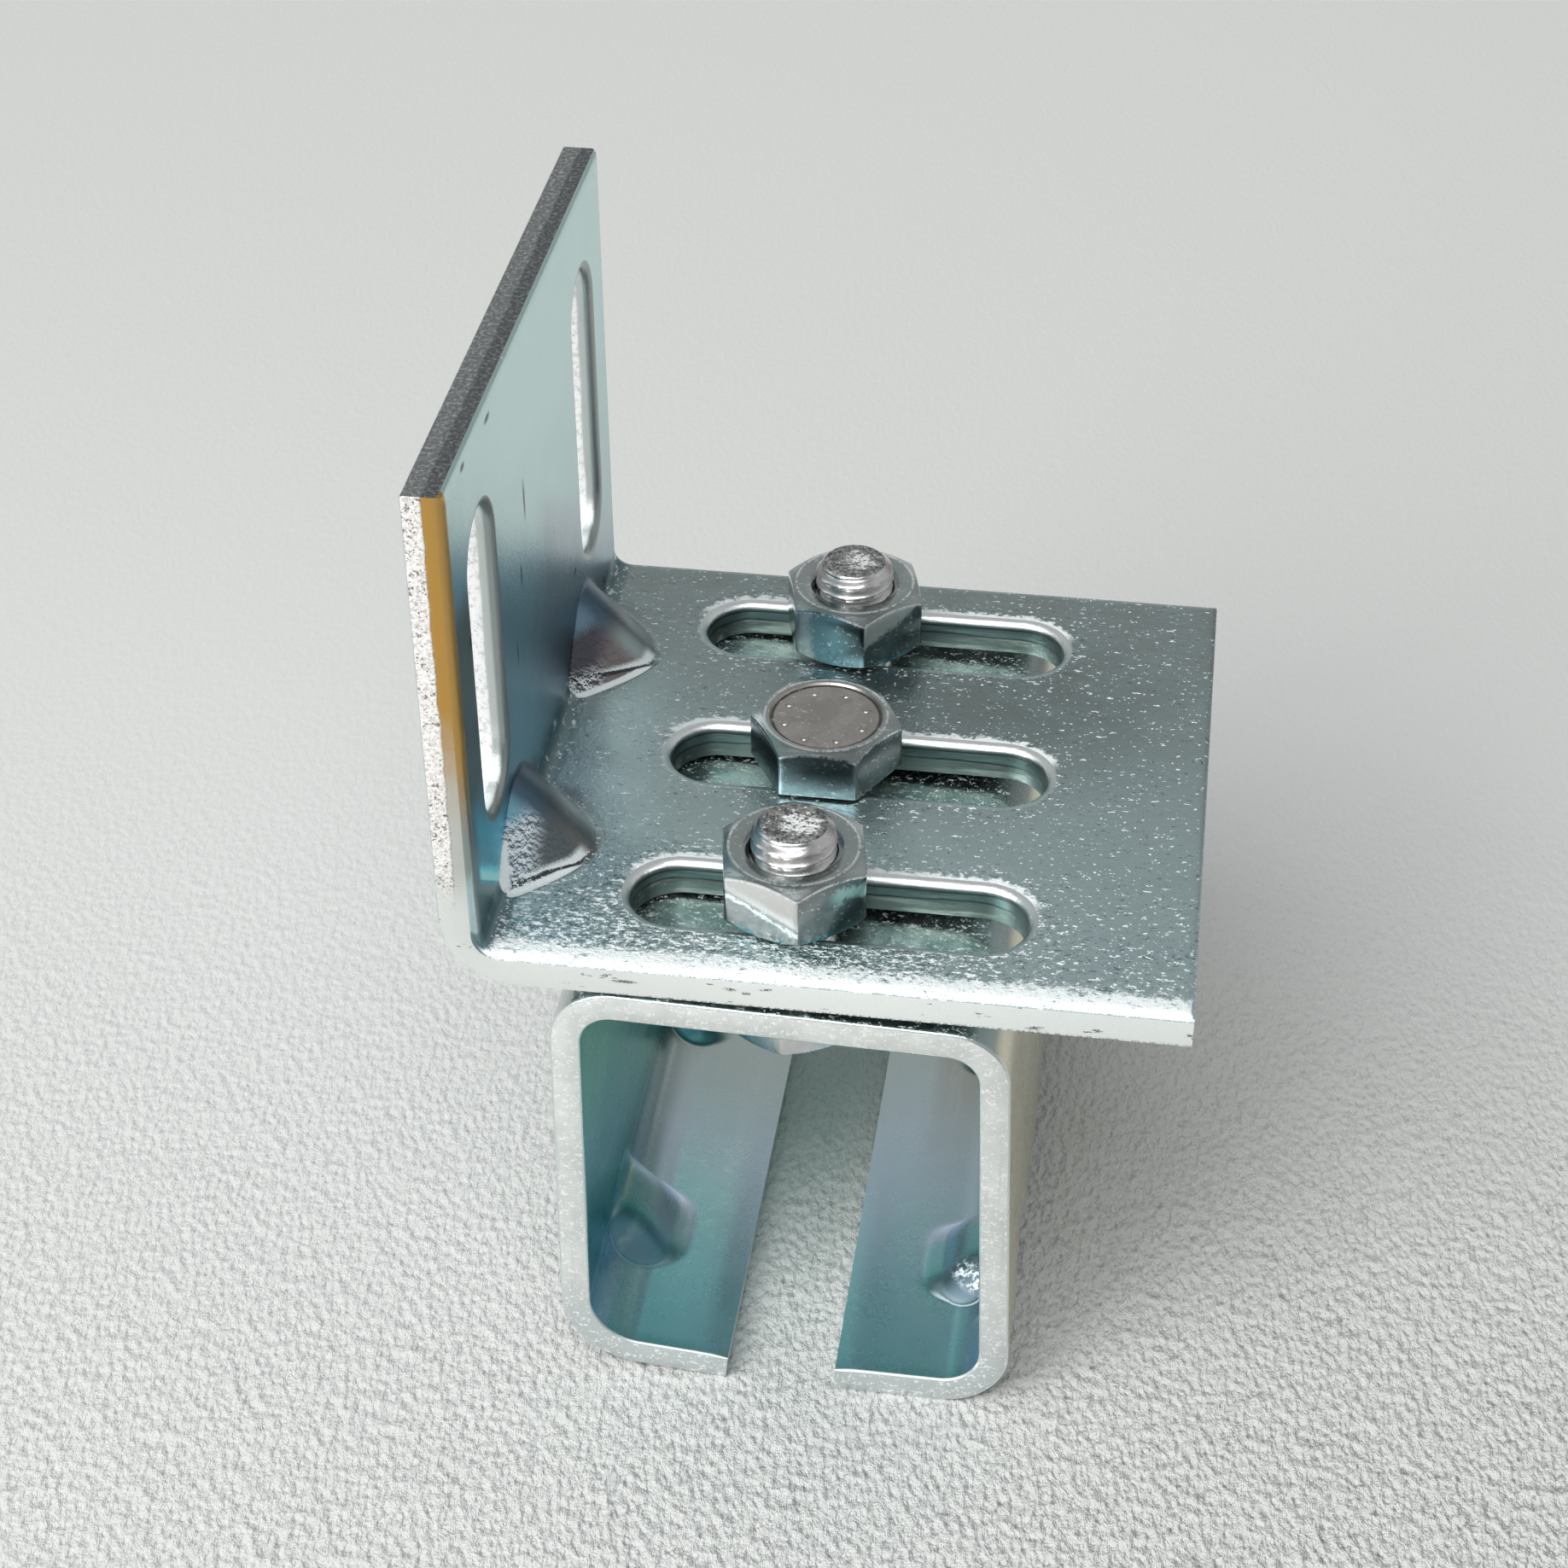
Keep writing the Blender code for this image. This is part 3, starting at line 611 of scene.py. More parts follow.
def slot_material():
    """Inside the slots: a smooth cut above, torn metal below, and a dark line between."""
    s = Shade("slot_walls")
    torn_noise = s.noise(0.0005, 4, 0.7)
    drawn = s.noise(0.0012, 3, 0.6, stretch=(0.15, 1, 1.4))
    wave = s.noise(0.006, 2, 0.5)
    fine = s.noise(0.00012, 2, 0.7)
    flange = s.z.rise(FLANGE_TOP + 0.002, FLANGE_TOP)
    level = s.z + wave.sway(0.0008)
    cut_colour = s.mix(drawn.rise(0.35, 0.7), (0.26, 0.38, 0.38), (0.40, 0.53, 0.52))
    low_colour = s.mix(drawn.rise(0.50, 0.70), (0.28, 0.34, 0.32), (0.66, 0.72, 0.66))
    s.colour = s.mix(level.rise(FLANGE_TOP - 0.0017, FLANGE_TOP - 0.0020), cut_colour, low_colour)
    line = level.band(FLANGE_TOP - 0.00195, FLANGE_TOP - 0.00175, 0.00010)
    line = line + s.z.band(FLANGE_TOP - 0.00095, FLANGE_TOP - 0.00080, 0.00006)
    s.paint(line.clamp() * 0.8, (0.06, 0.09, 0.09))
    lit = s.z.rise(FLANGE_TOP - 0.0008, FLANGE_TOP - 0.0003) * flange * s.ny.rise(0.2, -0.2)
    s.paint(lit, (0.97, 1.0, 0.99))
    end = s.x.rise(0.0150, 0.0180) * s.z.rise(FLANGE_TOP - 0.0005, FLANGE_TOP - 0.0009)
    s.paint(end * 0.6, (0.62, 0.74, 0.72))

    torn_side = (s.x + wave.sway(0.0004)).rise(BACK_FACE + 0.0022, BACK_FACE + 0.0019)
    torn_colour = s.mix(torn_noise.rise(0.30, 0.55), (0.62, 0.63, 0.62), (1.0, 1.0, 1.0))
    wall_colour = s.mix(torn_side, (0.80, 0.85, 0.83), torn_colour)
    edge = s.x.rise(WALL_FACE - 0.0010, WALL_FACE - 0.0006)
    wall_colour = s.mix(edge * 0.7, wall_colour, (0.22, 0.26, 0.26))
    s.colour = s.mix(flange, wall_colour, s.colour)
    roughness = 0.26 + torn_noise * 0.15
    height = torn_noise * 0.4 + drawn * 0.6 + fine * 0.2
    metallic = 1.0 - torn_side * (1.0 - flange) * 0.7
    return s.finish(roughness, height, 0.00010, 0.7, metallic)


def sheet_skin(name, materials, places, rows_at, end_flip):
    """A closed sheet through rows of outer and inner points; its rims take the second material."""
    work = bmesh.new()
    outer_grid = []
    inner_grid = []
    for y in places:
        pairs = [
            (work.verts.new((a.x, y, a.y)), work.verts.new((b.x, y, b.y))) for a, b in rows_at(y)
        ]
        outer_grid.append([pair[0] for pair in pairs])
        inner_grid.append([pair[1] for pair in pairs])
    last_place = len(places) - 1
    last_row = len(outer_grid[0]) - 1
    for j in range(last_place):
        for i in range(last_row):
            o, p = outer_grid[j], outer_grid[j + 1]
            work.faces.new((o[i], p[i], p[i + 1], o[i + 1]))
            o, p = inner_grid[j], inner_grid[j + 1]
            work.faces.new((o[i], o[i + 1], p[i + 1], p[i]))
        for i in (0, last_row):
            a, b = outer_grid[j][i], outer_grid[j + 1][i]
            c, d = inner_grid[j + 1][i], inner_grid[j][i]
            face = work.faces.new((b, a, d, c) if end_flip and not i else (a, b, c, d))
            face.material_index = 1
    for j in (0, last_place):
        for i in range(last_row):
            a, b = outer_grid[j][i], outer_grid[j][i + 1]
            c, d = inner_grid[j][i + 1], inner_grid[j][i]
            face = work.faces.new((b, a, d, c) if end_flip and j else (a, b, c, d))
            face.material_index = 1
    return shown(name, to_mesh(work, name), materials)


def sheet_places(half, rolled, form_y, reach, steps):
    """Places across a sheet, close together at its rolled edges and over its pressed forms."""
    stops = (
        -half, -half + rolled, -form_y - reach, -form_y + reach,
        form_y - reach, form_y + reach, half - rolled, half,
    )
    edge, plain, pressed = steps
    return spaced(stops, (edge, plain, pressed, plain, pressed, plain, edge))


def bracket_rows():
    """Matching points of the sheet's outer and inner faces, the inner normal, and the free edge."""
    near = PLATE + GUSSET_REACH + 2 * GUSSET_FOOT
    inner_start = PLATE + BEND_INNER
    up, out = Vector((0, 1)), Vector((1, 0))
    rows = []
    for z in spaced((WALL_HEIGHT, WALL_HEIGHT - ROLL_WIDTH, near + 0.001), (ROLL_WIDTH / 6, 0.002)):
        rows.append((Vector((0, z)), Vector((PLATE, z)), out, WALL_HEIGHT - z))
    outer = between(near, BEND_OUTER, 34)
    inner = between(near, inner_start, 34)
    for outer_z, inner_z in zip(outer[:-1], inner[:-1]):
        rows.append((Vector((0, outer_z)), Vector((PLATE, inner_z)), out, 1.0))
    bend = 24
    outer_arc = arc(Vector((BEND_OUTER, BEND_OUTER)), BEND_OUTER, pi, 3 * pi / 2, bend)
    inner_arc = arc(Vector((inner_start, inner_start)), BEND_INNER, pi, 3 * pi / 2, bend)
    for i, (a, b) in enumerate(zip(outer_arc, inner_arc)):
        angle = pi / 2 * i / bend
        rows.append((a, b, Vector((cos(angle), sin(angle))), 1.0))
    for outer_x, inner_x in zip(outer[-2::-1], inner[-2::-1]):
        rows.append((Vector((outer_x, 0)), Vector((inner_x, PLATE)), up, 1.0))
    end = FLANGE_LENGTH
    for x in spaced((near + 0.001, end - ROLL_WIDTH, end), (0.003, ROLL_WIDTH / 6)):
        rows.append((Vector((x, 0)), Vector((x, PLATE)), up, end - x))
    return rows


def gusset_push(inner, y):
    """How far a gusset pushes a row of the sheet out of the bend, with a groove at its foot."""
    height = inner.x + inner.y - 2 * PLATE
    centre = GUSSET_Y if y > 0 else -GUSSET_Y
    slope = sqrt(abs(y - centre) ** 2 + GUSSET_CREST**2) - GUSSET_CREST
    crest = GUSSET_REACH * (1 - slope / GUSSET_SLOPE)
    push = smooth_rise(crest - height, GUSSET_FOOT) / 2
    groove = max(1 - ((crest - height + 0.0002) / 0.0006) ** 2, 0.0)
    fade = min(max(crest / 0.0015, 0.0), 1.0) * min(max((centre - y) / 0.003, 0.0), 1.0)
    push -= GUSSET_GROOVE * groove * fade
    return Vector((push, push))


def slot_outline(length, width, steps=18):
    reach = (length - width) / 2
    right = arc(Vector((reach, 0)), width / 2, -pi / 2, pi / 2, steps)
    left = arc(Vector((-reach, 0)), width / 2, pi / 2, 3 * pi / 2, steps)
    return right + left


def add_slot(work, length, place, steps=5):
    """A punched slot's tool: straight sides and a rolled mouth; local Z leaves the punched face."""
    levels = [(-PLATE - 0.001, 0.0)]
    for angle in between(pi / 2, 0, steps):
        levels.append((SLOT_ROLL * 0.8 * (cos(angle) - 1), SLOT_ROLL * (1 - sin(angle))))
    levels.append((0.001, SLOT_ROLL))
    loops = []
    for depth, wider in levels:
        outline = slot_outline(length + 2 * wider, SLOT_WIDTH + 2 * wider)
        loops.append([work.verts.new(place @ Vector((p.x, p.y, depth))) for p in outline])
    count = len(loops[0])
    for low, high in zip(loops, loops[1:]):
        for i in range(count):
            j = (i + 1) % count
            work.faces.new((low[i], low[j], high[j], high[i]))
    work.faces.new(loops[0][::-1])
    work.faces.new(loops[-1])


def make_bracket():
    rows = bracket_rows()
    half = BRACKET_WIDTH / 2
    shift = Vector((BACK_FACE, FLANGE_BOTTOM))

    def rows_at(y):
        edge = half - abs(y)
        for outer, inner, normal, free in rows:
            push = gusset_push(inner, y)
            drop = max(roll(edge, ROLL_WIDTH, ROLL_DEPTH), roll(free, ROLL_WIDTH, ROLL_DEPTH * 0.6))
            burr = max(roll(edge, BURR, BURR), roll(free, BURR, BURR))
            yield outer + push + normal * burr + shift, inner + push - normal * drop + shift

    reach = GUSSET_HALF_WIDTH + 0.001
    places = sheet_places(half, ROLL_WIDTH, GUSSET_Y, reach, (ROLL_WIDTH / 7, 0.001, 0.0004))
    materials = (bracket_material(), edge_material(), slot_material())
    obj = sheet_skin("angle_bracket_skin", materials, places, rows_at, True)
    tool_work = bmesh.new()
    for y in (-SLOT_PITCH, 0.0, SLOT_PITCH):
        add_slot(tool_work, SLOT_LENGTH, Matrix.Translation((0, y, FLANGE_TOP)))
    upright = Matrix.Rotation(pi / 2, 4, "Y")
    for y in (-SLOT_PITCH, SLOT_PITCH):
        place = Matrix.Translation((WALL_FACE, y, WALL_SLOT_Z)) @ upright
        add_slot(tool_work, WALL_SLOT_LENGTH, place)
    cut(obj, tool_work, 2)
    seat(obj, 32, "angle", "bracket_zinc", "angle_bracket")


# Track sleeve
def sleeve_material():
    s = Shade("sleeve_plating")
    mottle = s.noise(0.005, 4, 0.6)
    cloud = s.noise(0.02, 3, 0.5, shift=(5, 2, 8))
    grain = s.noise(0.0005, 3, 0.65)
    streak = s.noise(0.0022, 3, 0.55, stretch=(1, 0.08, 1))
    fine = s.noise(0.00016, 2, 0.6)

    # green-blue passivate inside, greyer towards the far end
    nearer = (s.y + cloud.sway(0.02)).rise(0.030, -0.026)
    lips = s.mix(nearer, (0.56, 0.645, 0.57), (0.66, 0.82, 1.0))
    walls = s.mix(nearer, (0.52, 0.94, 0.80), (0.12, 0.50, 0.56))
    walls = s.mix(s.z.rise(0.018, 0.040) * nearer, walls, (0.26, 0.80, 0.68))
    height = s.z.rise(0.006, 0.012)
    inside = s.mix(height, lips, walls)
    right = s.x.rise(0.006, 0.010)
    inside = s.mix(right * (1.0 - nearer) * 0.6, inside, (0.40, 0.34, 0.26))
    outside = s.mix(mottle.rise(0.3, 0.7), (0.54, 0.595, 0.60), (0.60, 0.645, 0.64))
    side = s.x.rise(SLEEVE_OFFSET - 0.001, SLEEVE_OFFSET + 0.001) * 2.0 - 1.0
    upper = s.z.rise(0.022, 0.026) * 2.0 - 1.0
    outer = (s.nx * side + s.nz * upper).rise(0.05, 0.25)
    # painted shade on the dimples' faces towards the near end
    end_face = s.ny.rise(-0.08, -0.40) * s.z.rise(0.014, 0.012)
    facing = s.x.rise(-0.002, 0.002)
    end_colour = s.mix(facing, (0.11, 0.24, 0.28), (0.14, 0.20, 0.22))
    inside = s.mix(end_face * 0.9, inside, end_colour)
    shine = (grain + fine.sway(0.3)).rise(0.46, 0.58) * end_face * facing
    shine = shine * (s.z + mottle.sway(0.001)).band(0.0048, 0.0068, 0.0007)
    # a painted highlight arc along each dimple's lower edge
    arc_line = s.ny.band(-0.32, -0.12, 0.06) * s.y.rise(-0.0212, -0.0222) * s.z.rise(0.010, 0.008)
    shine = (shine + arc_line * (facing * 0.5 + 0.3) * s.nz.rise(-0.2, 0.1)).clamp()
    # a painted highlight along the left lower bend
    fold_line = (s.z + cloud.sway(0.0008)).band(0.0093, 0.0100, 0.0003) * s.x.rise(-0.010, -0.012)
    inside = s.mix(fold_line * 0.55, inside, (0.80, 0.92, 0.92))
    s.colour = s.mix(outer, inside, outside)
    top = s.z.rise(SLEEVE_HEIGHT - 0.0016, SLEEVE_HEIGHT - 0.0012)
    # painted shade on the small bumps of the top seen through the slots, with sparkle as their painted
    # glints
    bumps = s.relief(0.0008, 0.0001, 3, 0.65)
    top_colour = s.mix(mottle.rise(0.40, 0.65), (0.22, 0.29, 0.28), (0.46, 0.54, 0.52))
    top_colour = s.mix(bumps.rise(-0.06, -0.12) * 0.5, top_colour, (0.10, 0.16, 0.16))
    sparkle = bumps.rise(0.055, 0.10) * top
    s.paint(top, top_colour)
    # olive passivate tint on the right outer side, partly a painted reflection
    olive = s.nx.rise(0.6, 0.9) * s.x.rise(0.015, 0.0165)
    s.paint(olive * (cloud * 0.5 + 0.45), (0.82, 0.76, 0.52))
    s.paint(olive * streak.rise(0.50, 0.70) * 0.5, (0.52, 0.56, 0.54))
    # a painted highlight along the near end's rolled rim
    rim = s.y.rise(-0.0327, -0.0331)
    s.paint(rim * 0.8, (0.80, 0.86, 0.85))
    s.paint(streak.rise(0.55, 0.75) * 0.2, (0.80, 0.86, 0.86))
    # scuffs on the left lip drawn as painted glints on small bumps
    scuff_place = s.spot((-0.012, -0.012, 0.004), (0.006, 0.009, 0.006), 0.6)
    scuff_glints = s.relief(0.0011, 0.00014, 2, 0.6).rise(0.06, 0.12) * scuff_place
    s.paint(scuff_glints * 0.6, (0.90, 0.96, 0.96))
    roughness = 0.25 + mottle.sway(0.12) + grain * 0.05 + end_face * 0.20
    height = grain * (top * 1.2 + 0.03) + fine * (top * 0.12 + 0.02) + mottle * 0.5 + streak * 0.35
    s.paint(sparkle * 0.8, (0.78, 0.84, 0.83))
    s.paint(shine, (0.95, 1.0, 1.0))
    metallic = 1.0 - (sparkle * 0.8 + shine * 0.7 * (1.0 - outer)).clamp()
    return s.finish(roughness, height, 0.00005, 0.7, metallic)


def sleeve_edge_material():
    """The sleeve's sawn ends: pale, with a speckled line inside the rim."""
    s = Shade("sleeve_edge")
    torn_noise = s.noise(0.0004, 4, 0.75)
    cloud = s.noise(0.004, 3, 0.6)
    lines = s.noise(0.0009, 2, 0.5, stretch=(1, 1, 0.08))
    fine = s.noise(0.00012, 2, 0.7)
    s.colour = s.mix(cloud.rise(0.3, 0.7), (0.70, 0.73, 0.71), (0.84, 0.87, 0.85))
    s.paint(s.z.rise(0.012, 0.006) * 0.7, (0.52, 0.58, 0.59))
    s.paint(torn_noise.rise(0.60, 0.72) * 0.4, (0.55, 0.60, 0.60))
    upright = s.z.rise(0.040, 0.034)
    s.paint(lines.rise(0.5, 0.7) * upright * 0.4, (0.60, 0.66, 0.66))
    sparkle = s.relief(0.0007, 0.00011, 3, 0.7, shift=(4, 2, 6)).rise(0.05, 0.10)
    s.paint(sparkle, (1.0, 1.0, 1.0))
    roughness = 0.36 + torn_noise * 0.12
    height = torn_noise * 0.4 + fine * 0.2 + cloud * 0.4 + lines * 0.3
    return s.finish(roughness, height, 0.00009, 0.7, 0.75)


def sleeve_corners():
    """The section's sharp corners on its outer face, from the left lip round to the right one."""
    top_left = Vector((-SLEEVE_WIDTH / 2, SLEEVE_HEIGHT + TOP_BEND * tan(TOP_TILT)))
    top_right = top_left + Vector((SLEEVE_WIDTH, -SLEEVE_WIDTH * tan(TOP_TILT)))
    droop = tan(LEFT_LIP_DROOP)
    lean = tan(LEFT_LEAN)
    foot_height = (SLEEVE_WIDTH / 2 - LIP_GAP / 2) * droop
    foot_left = Vector((top_left.x - lean * (top_left.y - foot_height), foot_height))
    foot_right = Vector((top_right.x + tan(RIGHT_LEAN) * top_right.y, 0))
    left_edge = Vector((-LIP_GAP / 2, foot_left.y + droop * (foot_left.x + LIP_GAP / 2)))
    corners = [left_edge, foot_left, top_left, top_right, foot_right, Vector((LIP_GAP / 2, 0))]
    lift = Vector((0, -left_edge.y))
    corners[0] += lift
    corners[1] += lift
    return corners, (0, LEFT_FOOT_BEND, TOP_BEND, TOP_BEND, RIGHT_FOOT_BEND, 0)


def corner_rows(before, corner, after, radius, steps):
    """Points round a bend's outer face, each with the normal into the sheet."""
    along_in = (corner - before).normalized()
    along_out = (after - corner).normalized()
    turn = along_in.angle(along_out)
    inward = Vector((along_in.y, -along_in.x))
    centre = corner - along_in * (radius * tan(turn / 2)) + inward * radius
    normals = [Matrix.Rotation(-angle, 2) @ inward for angle in between(0.0, turn, steps)]
    return [(centre - normal * radius, normal) for normal in normals]


def run(start, end, middles):
    """Rows along a straight stretch, its two ends left out, and closer near the dimples."""
    length = (end[0] - start[0]).length
    direction = (end[0] - start[0]) / length
    rows = []
    done = 0.0
    while True:
        place = start[0] + direction * done
        near = min((place - middle).length for middle in middles) < 0.0105
        done += 0.0005 if near else 0.0016
        if done > length - 0.0004:
            return rows
        rows.append((start[0] + direction * done, start[1]))


def sleeve_rows():
    """The section's points and normals in order, and those in the middle of its lower bends."""
    corners, radii = sleeve_corners()
    bends = [
        corner_rows(corners[i - 1], corners[i], corners[i + 1], radii[i], 24) for i in range(1, 5)
    ]
    first = (corners[0], bends[0][0][1])
    final = (corners[-1], bends[-1][-1][1])
    rows = [first]
    middles = [bends[0][12], bends[3][12]]
    places = [middle[0] for middle in middles]
    start = first
    for bend in bends:
        rows += run(start, bend[0], places) + bend
        start = bend[-1]
    return rows + run(start, final, places) + [final], middles


def dimple_push(point, y, middles):
    """How far the dimples push a row of the sleeve's sheet inwards."""
    push = Vector((0, 0))
    for middle, inward in middles:
        for centre in (-DIMPLE_Y, DIMPLE_Y):
            across = (point - middle).length / DIMPLE_HALF_WIDTH
            along = (y - centre) / DIMPLE_HALF_LENGTH
            dome = max(1 - across**2 - along**DIMPLE_END_POWER, 0.0)
            push += inward * DIMPLE_RISE * dome**DIMPLE_BLEND_POWER
    return push


def make_sleeve():
    rows, middles = sleeve_rows()
    half = SLEEVE_LENGTH / 2
    shift = Vector((SLEEVE_OFFSET, 0))

    def rows_at(y):
        for point, normal in rows:
            push = dimple_push(point, y, middles)
            free = min((point - rows[0][0]).length, (point - rows[-1][0]).length)
            near = min(half - abs(y), free)
            drop = roll(near, SLEEVE_ROLL, SLEEVE_ROLL * 0.7)
            outer = point + push + normal * drop
            inner = point + normal * (SLEEVE_WALL - drop) + push
            yield outer + shift, inner + shift

    reach = DIMPLE_HALF_LENGTH + 0.001
    places = sheet_places(half, SLEEVE_ROLL, DIMPLE_Y, reach, (SLEEVE_ROLL / 4, 0.0015, 0.0003))
    materials = (sleeve_material(), sleeve_edge_material())
    obj = sheet_skin("track_sleeve_skin", materials, places, rows_at, False)
    tool_work = bmesh.new()
    tapped = BOLT_DIAMETER + 2 * SEAT
    for y, diameter in ((-SLOT_PITCH, BOLT_HOLE), (0, tapped), (SLOT_PITCH, BOLT_HOLE)):
        bmesh.ops.create_cone(
            tool_work, cap_ends=True, segments=64, depth=4 * SLEEVE_WALL,
            radius1=diameter / 2, radius2=diameter / 2,
            matrix=Matrix.Translation((SLEEVE_OFFSET, y, SLEEVE_HEIGHT - SLEEVE_WALL)),
        )
    cut(obj, tool_work, 1)
    seat(obj, 32, "sleeve", "sleeve_zinc", "track_sleeve")


# Fasteners
def fastener_material(name, first, second, roughness, sides=False, ring=None):
    """Plated steel; sides adds what the hexagons' sides mirror, and ring is a dark ring's radius."""
    s = Shade(name)
    mottle = s.noise(0.0025, 3, 0.6)
    grain = s.noise(0.0004, 3, 0.65)
    fine = s.noise(0.00013, 2, 0.6)
    s.colour = s.mix(mottle.rise(0.3, 0.7), first, second)
    if sides:
        paint_flats(s, mottle, grain)
    if ring:
        # a painted shade line round the edge of the head's recessed face
        radius = ((s.x - SLEEVE_OFFSET).square() + s.y.square()).root()
        line = radius.band(ring - 0.00018, ring + 0.00018, 0.0001) * s.nz.rise(0.6, 0.9)
        s.paint(line * 0.85, (0.05, 0.05, 0.05))
    # scratches drawn as painted glints on small bumps
    scratch_glints = s.relief(0.0010, 0.00012, 3, 0.7, shift=(6, 1, 2)).rise(0.090, 0.12)
    s.paint(scratch_glints * 0.5, (0.95, 0.97, 0.97))
    height = grain * 0.5 + fine * 0.25 + mottle * 0.8
    roughness = roughness + mottle.sway(0.12) + grain * 0.06
    return s.finish(roughness, height, 0.00004, 0.7)


def from_fastener(s):
    """Distance along the bracket's width from the nearest fastener's axis."""
    return SLOT_PITCH / 2 - s.math("PINGPONG", s.y + SLOT_PITCH / 2, SLOT_PITCH / 2)


def paint_flats(s, mottle, grain):
    """What the hexagons' sides mirror: pale and dark patches, bright edges and teal feet."""
    across = from_fastener(s)
    along = s.x - SLEEVE_OFFSET
    radius = (along.square() + across.square()).root()
    head = s.y.size().rise(0.0110, 0.0105)
    front = s.y.rise(-0.0110, -0.0115)
    rear = s.y.rise(0.0110, 0.0115)
    low = s.z - (FLANGE_TOP + SEAT)
    top = NUT_HEIGHT - head * (NUT_HEIGHT - HEAD_HEIGHT)
    flat = s.nz.size().rise(0.45, 0.25)
    right = s.nx.rise(0.25, 0.45)
    upward = s.nz.rise(0.80, 0.95) * low.rise(-0.001, 0.0)
    s.paint(upward * 0.75, (0.36, 0.42, 0.41))
    ragged = mottle.sway(0.0022) + grain.sway(0.0010)

    # front nut, painted reflection: its left side pale with a white streak, its right side dark with a
    # teal patch
    pale = (low + along * 0.28 + ragged * 0.3).rise(0.0026, 0.0032)
    left_colour = s.mix(pale, (0.36, 0.35, 0.34), (0.74, 0.75, 0.74))
    line = (low + along * 0.26 + ragged * 1.1).band(0.0020, 0.0025, 0.0002)
    left_colour = s.mix(line * along.rise(0.0035, 0.0015), left_colour, (1.0, 1.0, 1.0))
    right_colour = s.mix(along.rise(0.0022, 0.0060), (0.24, 0.27, 0.27), (0.10, 0.16, 0.17))
    patch = along.rise(0.0036, 0.0050) * (low + ragged * 1.3).band(0.0034, 0.0050, 0.0005)
    right_colour = s.mix(patch, right_colour, (0.50, 0.80, 0.76))
    s.paint(flat * front * 0.9, s.mix(right, left_colour, right_colour))

    # rear nut, painted reflection: pale at the left, then steel blue and dark; its right side pale
    # above, dark below
    left_colour = s.mix((along + ragged).rise(-0.0044, -0.0034), (0.50, 0.55, 0.56), (0.12, 0.24, 0.29))
    left_colour = s.mix((along + ragged).rise(-0.0012, 0.0006), left_colour, (0.05, 0.09, 0.10))
    blue = low.rise(0.0024, 0.0010) * along.rise(-0.002, 0.002)
    left_colour = s.mix(blue * 0.7, left_colour, (0.40, 0.62, 0.70))
    pale = (low - along * 0.55 + ragged).rise(0.0016, 0.0024)
    right_colour = s.mix(pale, (0.08, 0.12, 0.13), (0.60, 0.65, 0.63))
    s.paint(flat * rear * 0.9, s.mix(right, left_colour, right_colour))

    # clamp screw, painted reflection: grey blue, paler along its foot at the left
    head_colour = s.mix((low + ragged).rise(0.0008, 0.0022), (0.30, 0.40, 0.43), (0.12, 0.165, 0.18))
    head_colour = s.mix(right, head_colour, (0.16, 0.20, 0.21))
    s.paint(flat * head * 0.85, head_colour)

    # painted highlights with some wear on the edges: the rim circle and the arcs over each side
    drop = top - low - (radius - HEX_RIM).most(0.0) * HEX_CHAMFER
    arcs = drop.band(0.00004, 0.00024, 0.00006) * flat
    rim = radius.band(HEX_RIM - 0.00022, HEX_RIM + 0.00002, 0.00008) * s.nz.rise(0.5, 0.8)
    wear_and_sheen = (grain + mottle.sway(0.5)).rise(0.36, 0.50)
    edges = (arcs + rim * low.rise(0.003, 0.004)).clamp() * wear_and_sheen
    edges = (edges + (low + grain.sway(0.0008)).rise(0.00025, 0.0001) * flat * wear_and_sheen * 0.6).clamp()
    feet = low.band(0.0001, 0.0007, 0.0002) * flat * mottle.rise(0.42, 0.56) * (1.0 - head)
    s.paint(feet * 0.8, (0.08, 0.42, 0.52))
    s.paint(edges * 0.85, (0.95, 0.99, 0.99))


def tip_material():
    s = Shade("bolt_tip")
    rough = s.noise(0.0006, 4, 0.75)
    fine = s.noise(0.00015, 3, 0.7)
    crumbs = s.relief(0.0008, 0.00012, 3, 0.75)
    across = from_fastener(s)
    away = ((s.x - SLEEVE_OFFSET - 0.0006).square() + across.square()).root()
    # a painted highlight at the tip's centre, painted shade on its small bumps and painted glints
    centre = away.rise(0.0026, 0.0006)
    s.colour = s.mix(rough.rise(0.35, 0.65), (0.15, 0.15, 0.145), (0.55, 0.55, 0.53))
    s.paint(centre * 0.6, (0.95, 0.96, 0.95))
    s.paint(crumbs.rise(-0.03, -0.09) * 0.9, (0.07, 0.07, 0.07))
    bright = (crumbs + rough.sway(0.15) + centre.sway(0.16)).rise(0.04, 0.08)
    s.paint(bright, (0.96, 0.97, 0.96))
    height = rough * 1.0 + fine * 0.3
    return s.finish(0.30 + rough * 0.1, height, 0.00022, 0.9, 1.0 - bright * 0.8)


def ring_mesh(name, rings, indices, closed, matrix):
    """A surface through rings of points, moved into place; closed joins the last to the first."""
    work = bmesh.new()
    loops = [[work.verts.new(p) for p in ring] for ring in rings]
    pairs = list(zip(loops, loops[1:]))
    if closed:
        pairs.append((loops[-1], loops[0]))
    for (low, high), index in zip(pairs, indices):
        n = max(len(low), len(high))
        for i in range(n):
            j = (i + 1) % n
            if len(low) == 1:
                face = work.faces.new((low[0], high[j], high[i]))
            elif len(high) == 1:
                face = work.faces.new((low[i], low[j], high[0]))
            else:
                face = work.faces.new((low[i], low[j], high[j], high[i]))
            face.material_index = index
    return set_down(to_mesh(work, name), matrix)


def set_down(mesh, matrix):
    mesh.transform(matrix)
    mesh.update()
    return mesh


